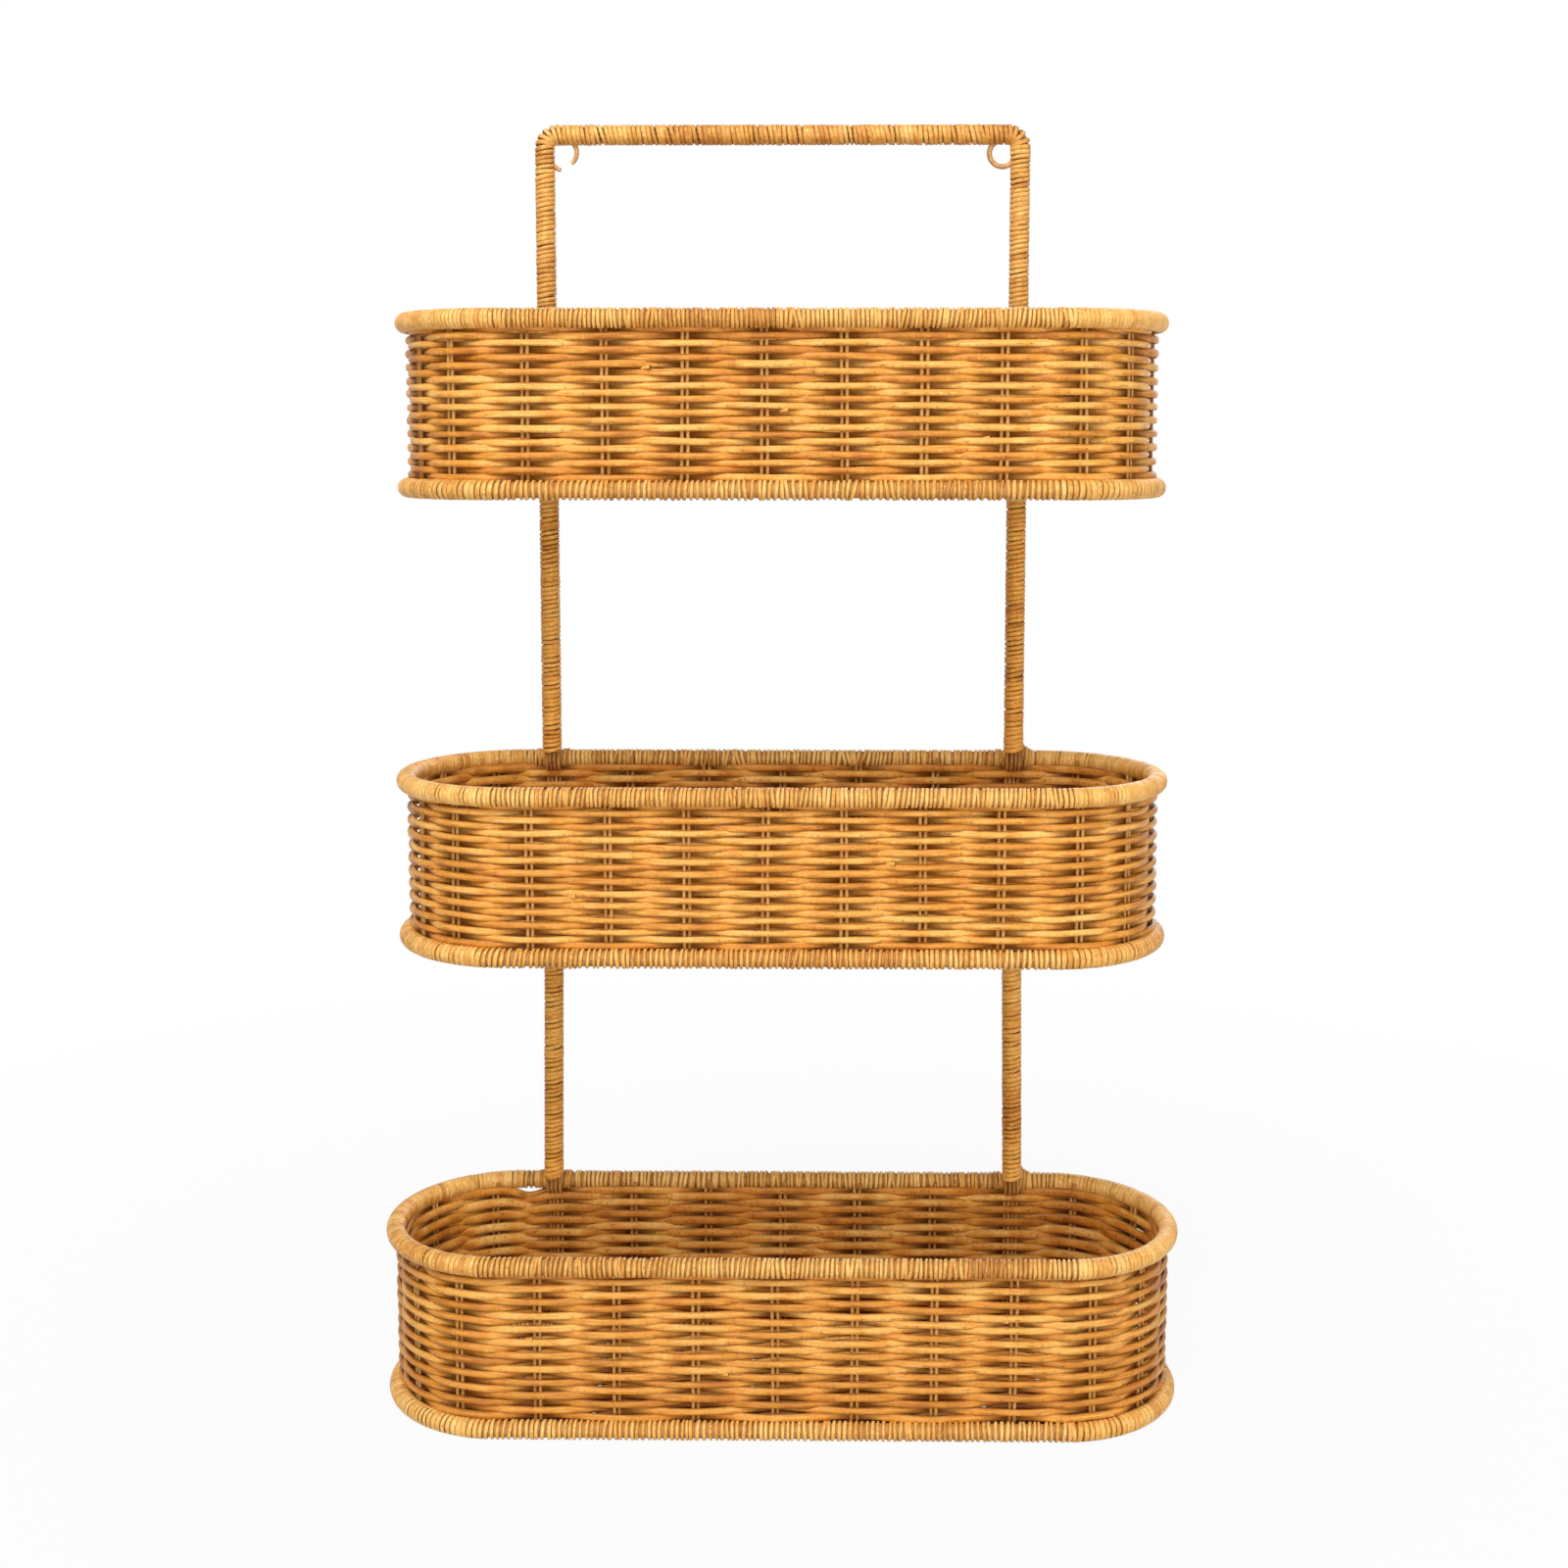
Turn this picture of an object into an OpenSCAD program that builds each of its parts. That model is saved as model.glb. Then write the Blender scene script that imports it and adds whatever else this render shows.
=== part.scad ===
// Three-tier wicker wall basket: three oblong baskets on one cane-wrapped hanging frame.
// Origin: bottom centre of the lower basket. X runs along the wall, +Y faces the wall, +Z is up.

/* [Baskets] */
// Width of the upper basket over its rims
upper_w = 388; // [388:1:450]
// Width of the middle basket over its rims
middle_w = 395; // [388:1:450]
// Width of the lower basket over its rims
lower_w = 415; // [388:1:450]
// Depth of every basket over its rims
basket_d = 130; // [116:1:130]
// Height of one row of weaving in the upper basket
upper_row_h = 3.21; // [3:0.01:4.2]
// Height of one row of weaving in the middle basket
middle_row_h = 3.14; // [3:0.01:4.2]
// Height of one row of weaving in the lower basket
lower_row_h = 3.35; // [3:0.01:4.2]
// Height from the middle basket's top rim to the upper one's
upper_rise = 230.7; // [180:0.1:300]
// Height from the lower basket's top rim to the middle one's
middle_rise = 237.5; // [180:0.1:300]

/* [Rims] */
// Diameter of a rim over its cane binding
rim_d = 10; // [8:0.1:12]
// Thickness of the cane binding on rims and posts
cane_t = 1.1; // [0.8:0.1:1.4]
// Length of rim or post that one turn of cane covers
turn_pitch = 2.24; // [2:0.02:4]
// Depth of the groove between two turns of cane
turn_groove = 0.35; // [0.1:0.05:0.45]
// Depth of the flat on which the lower basket stands
foot_flat = 0.5; // [0.2:0.1:0.8]

/* [Woven walls] */
// Rows of weaving in each wall
wall_rows = 22; // [12:2:26]
// Thickness of a weaver across the wall
weaver_t = 3; // [2.4:0.1:3.2]
// Diameter of one stake
stake_d = 2.2; // [1.6:0.1:2.6]
// Distance between the two stakes of a pair
pair_pitch = 2.4; // [2.3:0.05:4]
// Distance from the rim's centre line in to the line of the stakes
wall_inset = 3; // [2:0.1:3.6]
// Gap between a weaver and the stake that it passes
weave_gap = 0.4; // [0.3:0.05:0.6]
// Gap between the last row of weaving and the rim
row_end_gap = 0.5; // [0.5:0.1:1]

/* [Woven floors] */
// Width of one flat strip of a floor
floor_row_w = 11.6; // [8:0.2:14]
// Thickness of a floor strip
floor_weaver_t = 1.6; // [1:0.1:1.8]
// Diameter of a floor stick
floor_stick_d = 2.2; // [1.6:0.1:2.4]
// Distance between two floor sticks
floor_stick_pitch = 40; // [24:4:60]

/* [Hanging frame] */
// Height of the top bar's centre above the upper basket's top rim
bar_rise = 100.4; // [60:0.1:160]
// Distance between the centres of the two posts
post_span = 248.6; // [200:0.2:252]
// Diameter of a post or the bar over its cane binding
post_d = 10.8; // [10.6:0.1:12]
// Radius of the frame's top corners at the middle of the bundle
corner_r = 6.2; // [6.1:0.1:20]
// Diameter of one stick of the frame's bundle
frame_stick_d = 1.8; // [1.4:0.05:1.8]
// Distance between two sticks of the bundle
frame_stick_pitch = 2.15; // [2.12:0.01:2.16]

/* [Hanging eyes] */
// Radius of an eye at the middle of its cane
eye_r = 6.8; // [5:0.1:10]
// Diameter of the cane that an eye is bent from
eye_cane_d = 2.8; // [2:0.1:3.4]
// Distance from the post's centre to the eye's centre
eye_in = 9.4; // [8.6:0.1:11]
// Distance from the bar's centre down to the eye's centre
eye_down = 9.6; // [8.6:0.1:11]

/* [Lashings] */
// Turns of cane that lash a post to a rim
lash_turns = 2; // [1:1:3]
// Diameter of the lashing cane
lash_d = 0.9; // [0.7:0.1:0.9]
// Distance between two turns of a lashing
lash_pitch = 1.5; // [1.4:0.1:1.8]

/* [Hidden] */
$fn = 48;

// Clearances shared by the pieces
fit_gap = 0.05;
seat_gap = 0.1;
overrun = 1;

// Baskets, from the top down
UPPER = 0;
MIDDLE = 1;
LOWER = 2;
basket_w = [upper_w, middle_w, lower_w];
rim_r = rim_d / 2;
row_h = [upper_row_h, middle_row_h, lower_row_h];
basket_h = [for (h = row_h) wall_rows * h + rim_d + 2 * row_end_gap];
hoop_r = rim_r - cane_t;
rim_y = basket_d / 2 - rim_r;
lowest_z = rim_r - foot_flat;
lower_top_z = lowest_z + basket_h[LOWER];
top_z = [lower_top_z + middle_rise + upper_rise, lower_top_z + middle_rise, lower_top_z];
bottom_z = [for (b = [UPPER : LOWER]) top_z[b] - basket_h[b]];
bar_z = top_z[UPPER] + bar_rise;

// The line of the stakes: two straights and two half circles
wall_r = rim_y - wall_inset;
function straight(b) = basket_w[b] - basket_d;
function end_arc() = PI * wall_r;
function girth(b) = 2 * straight(b) + 2 * end_arc();

// Point on the line of the stakes, s along it from the front's middle towards +X, out beyond it
function wall_point(s, out, b) =
    let (l = straight(b), q = s + l / 2, t = q - girth(b) * floor(q / girth(b)), r = wall_r + out)
    t < l ? [t - l / 2, -r]
    : t < l + end_arc() ? let (a = 180 * (t - l) / end_arc()) [l / 2 + r * sin(a), -r * cos(a)]
    : t < 2 * l + end_arc() ? [l / 2 - (t - l - end_arc()), r]
    : let (a = 180 * (t - 2 * l - end_arc()) / end_arc()) [-l / 2 - r * sin(a), r * cos(a)];

// Stake pairs: evenly along the front, by shares round each end, evenly between the posts
front_pairs = 9;
back_spaces = 6;
front_pitch = [38.2, 38.5, 39.8];
front_shift = [-7.4, -7.3, -2.5];
end_shares = [0.17, 0.38, 0.59, 0.8];
post_x = post_span / 2;
function post_s(b) = girth(b) / 2 - post_x;
function front_s(b, i) = front_shift[b] + (i - (front_pairs - 1) / 2) * front_pitch[b];
function stake_line(b) = let (a = front_s(b, front_pairs - 1), z = girth(b) + front_s(b, 0),
    p = post_s(b), q = girth(b) - post_s(b)) concat(
    [for (i = [0 : front_pairs - 1]) front_s(b, i)],
    [for (share = end_shares) a + share * (p - a)],
    [for (i = [0 : back_spaces]) p + i * post_span / back_spaces],
    [for (i = [len(end_shares) - 1 : -1 : 0]) z - end_shares[i] * (z - q)],
    [z]);
right_post_index = front_pairs + len(end_shares);
left_post_index = right_post_index + back_spaces;

// Weaving: each row waves out and in between the stake pairs, past each one in a flat
wave_shares = [1 / 4, 3 / 4];
wave_signs = [1, -1];
wave_reach = stake_d / 2 + weave_gap + weaver_t / 2;
function wall_bottom(b) = bottom_z[b] + rim_r + row_end_gap;
function on_end(s, b) = let (q = s + straight(b) / 2, t = q - girth(b) * floor(q / girth(b)))
    (t > straight(b) && t < girth(b) / 2) || t > girth(b) - end_arc();
function flat_out(s, out, quarter, b) = on_end(s, b)
    ? (wall_r + out) / cos(180 * quarter / end_arc()) - wall_r : out;
function row_loop(b, row, side) = let (line = stake_line(b))
    [for (k = [0 : len(line) - 2], half = [0, 1])
        let (space = line[k + 1] - line[k], s = line[k] + wave_shares[half] * space,
            sign = (k + row) % 2 == 0 ? 1 : -1,
            out = sign * wave_signs[half] * wave_reach + side * weaver_t / 2)
        wall_point(s, flat_out(s, out, wave_shares[0] * space, b), b)];

// Floors: a mat of weavers over sticks that run from front to back, inside the bottom rim
floor_r = rim_y - rim_r - seat_gap;
floor_reach = floor_stick_d / 2 + seat_gap + floor_weaver_t / 2;
floor_rows = floor(2 * floor_r / floor_row_w);
function mat_half(b, y) = straight(b) / 2 + sqrt(max(0, floor_r * floor_r - y * y));
function stick_half(b, x) = let (over = max(0, x - straight(b) / 2))
    over < floor_r ? sqrt(floor_r * floor_r - over * over) : 0;

// Hanging frame
post_r = post_d / 2;
post_y = rim_y - rim_r - post_r - seat_gap;
bundle_row = 4;
bundle_offsets = [for (i = [0 : bundle_row - 1]) (i - (bundle_row - 1) / 2) * frame_stick_pitch];
packing_offsets = [for (i = [-1 : 1]) i * frame_stick_pitch];
wall_y = wall_r;
jog_r = (wall_y - post_y) / 2;
jog_rest = 1.7;
jog_top_drop = 2 * jog_r - jog_rest;
function jog_top(b) = jog_top_drop - rim_r - row_end_gap - row_h[b] - jog_r;
jog_bottom_rise = 2;
jog_bottom = rim_r + jog_bottom_rise - jog_r;
shortest_straight = 0.001;
binding_end = -3;
binding_start = -floor_reach - floor_weaver_t / 2 - seat_gap;
notch_half = 1.5 * frame_stick_pitch + frame_stick_d / 2 + seat_gap;
notch_y = post_y - frame_stick_d / 2 - seat_gap;

// Lashings: each turn passes in front of the post, over the rim and behind it
lash_r = lash_d / 2;
lash_post_r = post_r + lash_r + fit_gap;
lash_hoop_r = hoop_r + lash_r + seat_gap - fit_gap;
lash_drop = 0.6;
lash_back_r = 1;
lash_tail = 4;
lash_front_y = rim_y - post_y - lash_hoop_r;
lash_back_y = rim_y - post_y + lash_hoop_r;
lash_gap_half = lash_post_r + lash_turns * lash_pitch + lash_r;

// Moves a shape drawn along +Z, with its start on +X, onto a point and three directions
module placed(origin, x, y, z) {
    multmatrix([[x[0], y[0], z[0], origin[0]], [x[1], y[1], z[1], origin[1]],
        [x[2], y[2], z[2], origin[2]], [0, 0, 0, 1]]) children();
}

function unit(v) = v / norm(v);
function across(v) = [v[1], v[2], v[0]];
function ways_along(points) = [for (i = [0 : len(points) - 2]) unit(points[i + 1] - points[i])];

// A round stick along a line of points with right-angled corners, each one bent to its radius
module rod(points, radii, d) {
    last = len(points) - 1;
    ways = ways_along(points);
    for (i = [0 : last - 1]) {
        from = points[i] + ways[i] * radii[i];
        to = points[i + 1] - ways[i] * radii[i + 1];
        side = across(ways[i]);
        if (norm(to - from) > shortest_straight)
            placed(from, side, cross(ways[i], side), ways[i]) cylinder(h = norm(to - from), d = d);
    }
    for (i = [1 : 1 : last - 1])
        placed(points[i] + (ways[i] - ways[i - 1]) * radii[i], -ways[i], ways[i - 1],
            cross(-ways[i], ways[i - 1])) rotate_extrude(angle = 90) translate([radii[i], 0])
            circle(d = d);
}

// Two straights and two half circles, with the given section swept round them
module oblong(b, z) {
    half = straight(b) / 2;
    for (side = [-1, 1]) {
        translate([side * half, 0, z]) rotate([0, 0, side * -90])
            rotate_extrude(angle = 180) translate([rim_y, 0]) children();
    }
}

// A rim's solid round bar, of radius r
module oblong_bar(b, z, r) {
    half = straight(b) / 2;
    oblong(b, z) circle(r = r);
    for (side = [-1, 1]) translate([-half, side * rim_y, z]) rotate([0, 90, 0])
        cylinder(h = 2 * half, r = r);
}

// A straight length of cane binding along +Z: a tube with one crest for each turn
module binding(length, r) {
    turns = max(1, round(length / turn_pitch));
    step = length / turns;
    rotate_extrude() polygon(concat([[r - cane_t, 0], [r, 0]],
        [for (i = [0 : turns - 1], half = [1, 2])
            [half == 1 ? r - turn_groove : r, (i + half / 2) * step]],
        [[r - cane_t, length]]));
}

// The cane binding of one whole rim
module rim_binding(b, z) {
    half = straight(b) / 2;
    oblong(b, z) difference() {
        circle(r = rim_r);
        circle(r = hoop_r);
    }
    for (side = [-1, 1]) translate([-half, side * rim_y, z]) rotate([0, 90, 0])
        binding(2 * half, rim_r);
}

// Corners of one lashing turn with their radii, from the post's front left round to the rim's top
function lash_turn(turn) = let (z = -lash_drop - turn * lash_pitch,
    left = turn == 0 ? lash_post_r : lash_post_r + (turn - 1 / 2) * lash_pitch,
    right = lash_post_r + turn * lash_pitch, next_left = right + lash_pitch / 2,
    low = -lash_back_r - turn * lash_pitch, h = lash_hoop_r) concat(
    turn == 0 ? [[[-left, lash_tail, z], 0]] : [[[-left, lash_front_y, z], -z]],
    [[[-left, -lash_post_r, z], lash_post_r], [[right, -lash_post_r, z], lash_post_r],
        [[right, lash_front_y, z], -z], [[right, lash_front_y, h], h],
        [[right, lash_back_y, h], h], [[right, lash_back_y, low], lash_back_r],
        [[-next_left, lash_back_y, low], lash_back_r], [[-next_left, lash_back_y, h], h],
        [[-next_left, lash_front_y, h], h]],
    turn == lash_turns - 1 ? [[[-next_left, lash_front_y, -lash_drop], 0]] : []);
lash_corners = [for (turn = [0 : lash_turns - 1]) each lash_turn(turn)];
lash_points = [for (corner = lash_corners) corner[0]];
lash_radii = [for (corner = lash_corners) corner[1]];

// The line of one stick of the frame up a post, with its jogs behind and in front of the rims
function post_route(x) = concat([[x, wall_y, bottom_z[LOWER] + rim_r + row_end_gap]],
    jog_back(x, LOWER), [for (b = [MIDDLE, UPPER]) each concat(
        [[x, post_y, bottom_z[b] + jog_bottom], [x, wall_y, bottom_z[b] + jog_bottom]],
        jog_back(x, b))], [[x, post_y, bar_z - corner_r]]);
function jog_back(x, b) = [[x, wall_y, top_z[b] + jog_top(b)], [x, post_y, top_z[b] + jog_top(b)]];
post_radii = concat([0], [for (i = [1 : 10]) jog_r], [0]);

// One stick of the frame's top bar and its two bent corners, from each corner to the middle
module bar_stick(out, y) {
    for (side = [-1, 1]) {
        hanger_corner(side, y) translate([out, 0]) circle(d = frame_stick_d);
        translate([side * (post_x - corner_r), y, bar_z + out]) rotate([0, side * -90, 0])
            cylinder(h = post_x - corner_r, d = frame_stick_d);
    }
}

module frame_sticks() {
    color("peru") for (out = bundle_offsets) {
        for (side = [-1, 1]) rod(post_route(side * (post_x + out)), post_radii, frame_stick_d);
        bar_stick(out, post_y);
    }
}

// Shorter sticks that fill the bundle out inside its binding, in front of and behind the long ones
module frame_packing() {
    hanger_end = top_z[UPPER] + binding_end;
    color("burlywood") for (out = packing_offsets, side = [-1, 1]) {
        y = post_y + side * frame_stick_pitch;
        bar_stick(out, y);
        for (post = [-1, 1]) {
            x = post * (post_x + out);
            translate([x, y, hanger_end])
                cylinder(h = bar_z - corner_r - hanger_end, d = frame_stick_d);
            for (b = [UPPER, MIDDLE]) {
                low = top_z[b + 1] + binding_end;
                translate([x, y, low])
                    cylinder(h = bottom_z[b] + binding_start - low, d = frame_stick_d);
            }
        }
    }
}

// The hanger's bare outer form, over its binding or inside it
module hanger_form(r) {
    low = top_z[UPPER] + binding_end;
    for (side = [-1, 1]) {
        translate([side * post_x, post_y, low]) cylinder(h = bar_z - corner_r - low, r = r);
        hanger_corner(side, post_y) circle(r = r);
    }
    translate([corner_r - post_x, post_y, bar_z]) rotate([0, 90, 0])
        cylinder(h = post_span - 2 * corner_r, r = r);
}
module hanger_corner(side, y) {
    translate([side * (post_x - corner_r), y, bar_z - corner_r]) rotate([90, 0, 0])
        rotate([0, 0, side > 0 ? 0 : 90]) rotate_extrude(angle = 90) translate([corner_r, 0])
        children();
}
module hanger_binding() {
    length = bar_z - corner_r - top_z[UPPER] - binding_end;
    color("goldenrod") for (side = [-1, 1]) {
        translate([side * post_x, post_y, bar_z - corner_r]) rotate([180, 0, 0])
            binding(length, post_r);
        hanger_corner(side, post_y) difference() {
            circle(r = post_r);
            circle(r = post_r - cane_t);
        }
        translate([side * (post_x - corner_r), post_y, bar_z]) rotate([0, side * -90, 0])
            binding(post_x - corner_r, post_r);
    }
}

// The bindings of both posts between basket b and the next one down
module post_bindings(b) {
    low = top_z[b + 1] + binding_end;
    color("goldenrod") for (side = [-1, 1]) translate([side * post_x, post_y, low])
        binding(bottom_z[b] + binding_start - low, post_r);
}
module middle_post_bindings() { post_bindings(UPPER); }
module lower_post_bindings() { post_bindings(MIDDLE); }

// Hanging eyes: one end of the bundle bent round in each top corner, bound under the cane
left_gap_from = 242;
left_gap_to = 292;
module eye_arc(side, from, to) {
    translate([side * (post_x - eye_in), post_y, bar_z - eye_down]) rotate([90, 0, 0])
        rotate([0, 0, from]) rotate_extrude(angle = to - from) translate([eye_r, 0])
        circle(d = eye_cane_d);
}
module eye(side) {
    color("tan") difference() {
        union() {
            if (side > 0) eye_arc(side, 90, 360);
            if (side < 0) {
                eye_arc(side, 180, left_gap_from);
                eye_arc(side, left_gap_to, 450);
            }
        }
        hanger_form(post_r);
    }
}
module left_eye() { eye(-1); }
module right_eye() { eye(1); }

// Lashings that tie both posts to a basket's top rim, in the gaps left in its binding
module lashings(b) {
    color("sandybrown") for (side = [-1, 1]) translate([side * post_x, post_y, top_z[b]])
        rod(lash_points, lash_radii, lash_d);
}
module upper_lashings() { lashings(UPPER); }
module middle_lashings() { lashings(MIDDLE); }
module lower_lashings() { lashings(LOWER); }

// Rims: a hoop in a binding of cane
module hoop(b, z) {
    color("peru") oblong_bar(b, z, hoop_r - fit_gap);
}
module top_binding(b) {
    color("gold") difference() {
        rim_binding(b, top_z[b]);
        for (side = [-1, 1]) translate([side * post_x, rim_y, top_z[b]])
            cube([2 * lash_gap_half, rim_d + overrun, rim_d + overrun], center = true);
    }
}
module bottom_binding(b) {
    color("gold") difference() {
        rim_binding(b, bottom_z[b]);
        if (b == LOWER) translate([0, 0, -rim_r / 2])
            cube([2 * basket_w[b], 2 * basket_d, rim_r], center = true);
    }
}

// Stakes: upright pairs between the rims
module stakes(b) {
    line = stake_line(b);
    color("sienna") for (k = [0 : len(line) - 2], side = [-1, 1])
        if (k != right_post_index && k != left_post_index)
            translate(concat(wall_point(line[k] + side * pair_pitch / 2, 0, b), bottom_z[b] + rim_r))
                cylinder(h = basket_h[b] - rim_d, d = stake_d);
}

// The woven wall
module weave(b) {
    color("orange") for (row = [0 : wall_rows - 1]) {
        outer = row_loop(b, row, 1);
        inner = row_loop(b, row, -1);
        count = len(outer);
        translate([0, 0, wall_bottom(b) + row * row_h[b]]) linear_extrude(height = row_h[b])
            polygon(concat(outer, inner), [[for (i = [0 : count - 1]) i],
                [for (i = [0 : count - 1]) count + i]]);
    }
}

// Where the frame's sticks pass the back edge of a floor
module floor_notches(b) {
    for (side = [-1, 1])
        translate([side * post_x - notch_half, notch_y, bottom_z[b] - rim_r])
            cube([2 * notch_half, rim_d, rim_d]);
}
module floor_sticks(b) {
    count = floor((straight(b) / 2 + floor_r - floor_stick_d) / floor_stick_pitch);
    color("sienna") difference() {
        for (i = [-count : count]) {
            half = stick_half(b, abs(i) * floor_stick_pitch + floor_stick_d / 2);
            translate([i * floor_stick_pitch, -half, bottom_z[b]]) rotate([-90, 0, 0])
                cylinder(h = 2 * half, d = floor_stick_d);
        }
        if (b != LOWER) floor_notches(b);
    }
}

// A list from its end to its start
function reverse(list) = [for (i = [len(list) - 1 : -1 : 0]) list[i]];

// One floor strip's side view, waved over and under the sticks
function mat_edge(row, half, side) = let (p = floor_stick_pitch,
    count = floor(half / p - 1 / 4))
    [for (i = [-count : count], quarter = [-1, 1])
        [(i + quarter / 4) * p, ((i + row) % 2 == 0 ? 1 : -1) * floor_reach
            + side * floor_weaver_t / 2]];
module floor_weave(b) {
    color("orange") difference() {
        for (row = [0 : floor_rows - 1]) {
            y = (row - (floor_rows - 1) / 2) * floor_row_w;
            half = mat_half(b, abs(y) + floor_row_w / 2);
            under = mat_edge(row, half, -1);
            over = mat_edge(row, half, 1);
            last = under[len(under) - 1];
            translate([0, y + floor_row_w / 2, bottom_z[b]]) rotate([90, 0, 0])
                linear_extrude(height = floor_row_w) polygon(concat(
                    [[-half, under[0][1]]], under, [[half, last[1]]],
                    [[half, over[len(over) - 1][1]]], reverse(over), [[-half, over[0][1]]]));
        }
        if (b != LOWER) floor_notches(b);
    }
}

module upper_top_hoop() { hoop(UPPER, top_z[UPPER]); }
module upper_top_binding() { top_binding(UPPER); }
module upper_bottom_hoop() { hoop(UPPER, bottom_z[UPPER]); }
module upper_bottom_binding() { bottom_binding(UPPER); }
module upper_stakes() { stakes(UPPER); }
module upper_weave() { weave(UPPER); }
module upper_floor_sticks() { floor_sticks(UPPER); }
module upper_floor_weave() { floor_weave(UPPER); }
module middle_top_hoop() { hoop(MIDDLE, top_z[MIDDLE]); }
module middle_top_binding() { top_binding(MIDDLE); }
module middle_bottom_hoop() { hoop(MIDDLE, bottom_z[MIDDLE]); }
module middle_bottom_binding() { bottom_binding(MIDDLE); }
module middle_stakes() { stakes(MIDDLE); }
module middle_weave() { weave(MIDDLE); }
module middle_floor_sticks() { floor_sticks(MIDDLE); }
module middle_floor_weave() { floor_weave(MIDDLE); }
module lower_top_hoop() { hoop(LOWER, top_z[LOWER]); }
module lower_top_binding() { top_binding(LOWER); }
module lower_bottom_hoop() { hoop(LOWER, bottom_z[LOWER]); }
module lower_bottom_binding() { bottom_binding(LOWER); }
module lower_stakes() { stakes(LOWER); }
module lower_weave() { weave(LOWER); }
module lower_floor_sticks() { floor_sticks(LOWER); }
module lower_floor_weave() { floor_weave(LOWER); }

// The least gap between two turns of a lashing, measured along its centre line in fine steps
lash_steps = 6;
lash_ways = ways_along(lash_points);
lash_line = [for (i = [1 : len(lash_points) - 2], k = [0 : lash_steps])
    let (a = 90 * k / lash_steps, r = lash_radii[i], before = lash_ways[i - 1], after = lash_ways[i])
    lash_points[i] + r * (after - before) + r * (before * sin(a) - after * cos(a))];
lash_apart = 4 * lash_steps;
echo(lashing_gap = min([for (i = [0 : len(lash_line) - 1], j = [i + lash_apart : 1 :
    len(lash_line) - 1]) norm(lash_line[i] - lash_line[j])]) - lash_d);

frame_sticks();
frame_packing();
hanger_binding();
middle_post_bindings();
lower_post_bindings();
left_eye();
right_eye();
upper_lashings();
middle_lashings();
lower_lashings();
upper_top_hoop();
upper_top_binding();
upper_bottom_hoop();
upper_bottom_binding();
upper_stakes();
upper_weave();
upper_floor_sticks();
upper_floor_weave();
middle_top_hoop();
middle_top_binding();
middle_bottom_hoop();
middle_bottom_binding();
middle_stakes();
middle_weave();
middle_floor_sticks();
middle_floor_weave();
lower_top_hoop();
lower_top_binding();
lower_bottom_hoop();
lower_bottom_binding();
lower_stakes();
lower_weave();
lower_floor_sticks();
lower_floor_weave();
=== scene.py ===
"""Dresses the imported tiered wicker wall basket: woven reeds, wrapped rims and posts, eyes, stage."""
import math

import bpy
import numpy as np
from bpy.props import FloatProperty, FloatVectorProperty, IntProperty, PointerProperty
from mathutils import Euler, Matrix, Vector
from numpy.random import default_rng


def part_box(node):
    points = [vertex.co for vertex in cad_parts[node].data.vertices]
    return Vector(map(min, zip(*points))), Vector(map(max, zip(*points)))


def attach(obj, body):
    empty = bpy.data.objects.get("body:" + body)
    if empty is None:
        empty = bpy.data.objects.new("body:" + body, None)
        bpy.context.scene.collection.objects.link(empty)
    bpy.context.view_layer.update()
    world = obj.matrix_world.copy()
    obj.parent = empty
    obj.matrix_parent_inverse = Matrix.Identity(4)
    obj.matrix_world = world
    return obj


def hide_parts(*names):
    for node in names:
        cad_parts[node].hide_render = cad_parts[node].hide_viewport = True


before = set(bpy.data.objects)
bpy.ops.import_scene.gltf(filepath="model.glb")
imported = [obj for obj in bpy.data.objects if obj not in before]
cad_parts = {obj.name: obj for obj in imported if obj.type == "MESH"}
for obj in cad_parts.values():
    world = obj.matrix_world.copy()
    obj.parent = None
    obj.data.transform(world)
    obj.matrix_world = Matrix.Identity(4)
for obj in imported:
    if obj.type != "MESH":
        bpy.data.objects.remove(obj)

bl_info = {
    "name": "Tiered wicker wall basket",
    "version": (1, 0, 0),
    "blender": (4, 5, 0),
    "location": "3D View > Sidebar > Wicker",
    "description": "Weaves, wraps and lights a tiered wicker wall basket",
    "category": "Object",
}

# Lengths are in millimetres until a mesh is made. The front of the basket faces -Y and the wall is at +Y
MM = 0.001
TURN = 2 * math.pi
FRONT, RIGHT, UP = np.array([(0.0, -1.0, 0.0), (1.0, 0.0, 0.0), (0.0, 0.0, 1.0)])
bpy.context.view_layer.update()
# Points round the section of a weaving reed, a hanging eye and every other strand
REED_SIDES = 10
EYE_SIDES = 12
SIDES = 8

# Stake places of each basket: the front pairs' pitch and shift, then shares round each end
FRONT_PAIRS = 9
BACK_SPACES = 6
FRONT_PITCH = {"upper": 38.2, "middle": 38.5, "lower": 39.8}
FRONT_SHIFT = {"upper": -7.4, "middle": -7.3, "lower": -2.5}
END_SHARES = (0.17, 0.38, 0.59, 0.8)
RIGHT_POST_INDEX = FRONT_PAIRS + len(END_SHARES)
LEFT_POST_INDEX = RIGHT_POST_INDEX + BACK_SPACES
# From the rims' centre line in to the line of the stakes
WALL_INSET = 3.0


def box_mm(node):
    """Lowest and highest corner of a CAD node in millimetres."""
    low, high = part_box(node)
    return np.array(low) / MM, np.array(high) / MM


POST_LOW, POST_HIGH = box_mm("middle_post_bindings")
POST_R = (POST_HIGH[1] - POST_LOW[1]) / 2
POST_Y = (POST_HIGH[1] + POST_LOW[1]) / 2
POST_X = POST_HIGH[0] - POST_R
HANGER_LOW, HANGER_HIGH = box_mm("hanger_binding")
BAR_Z = HANGER_HIGH[2] - POST_R


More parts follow.
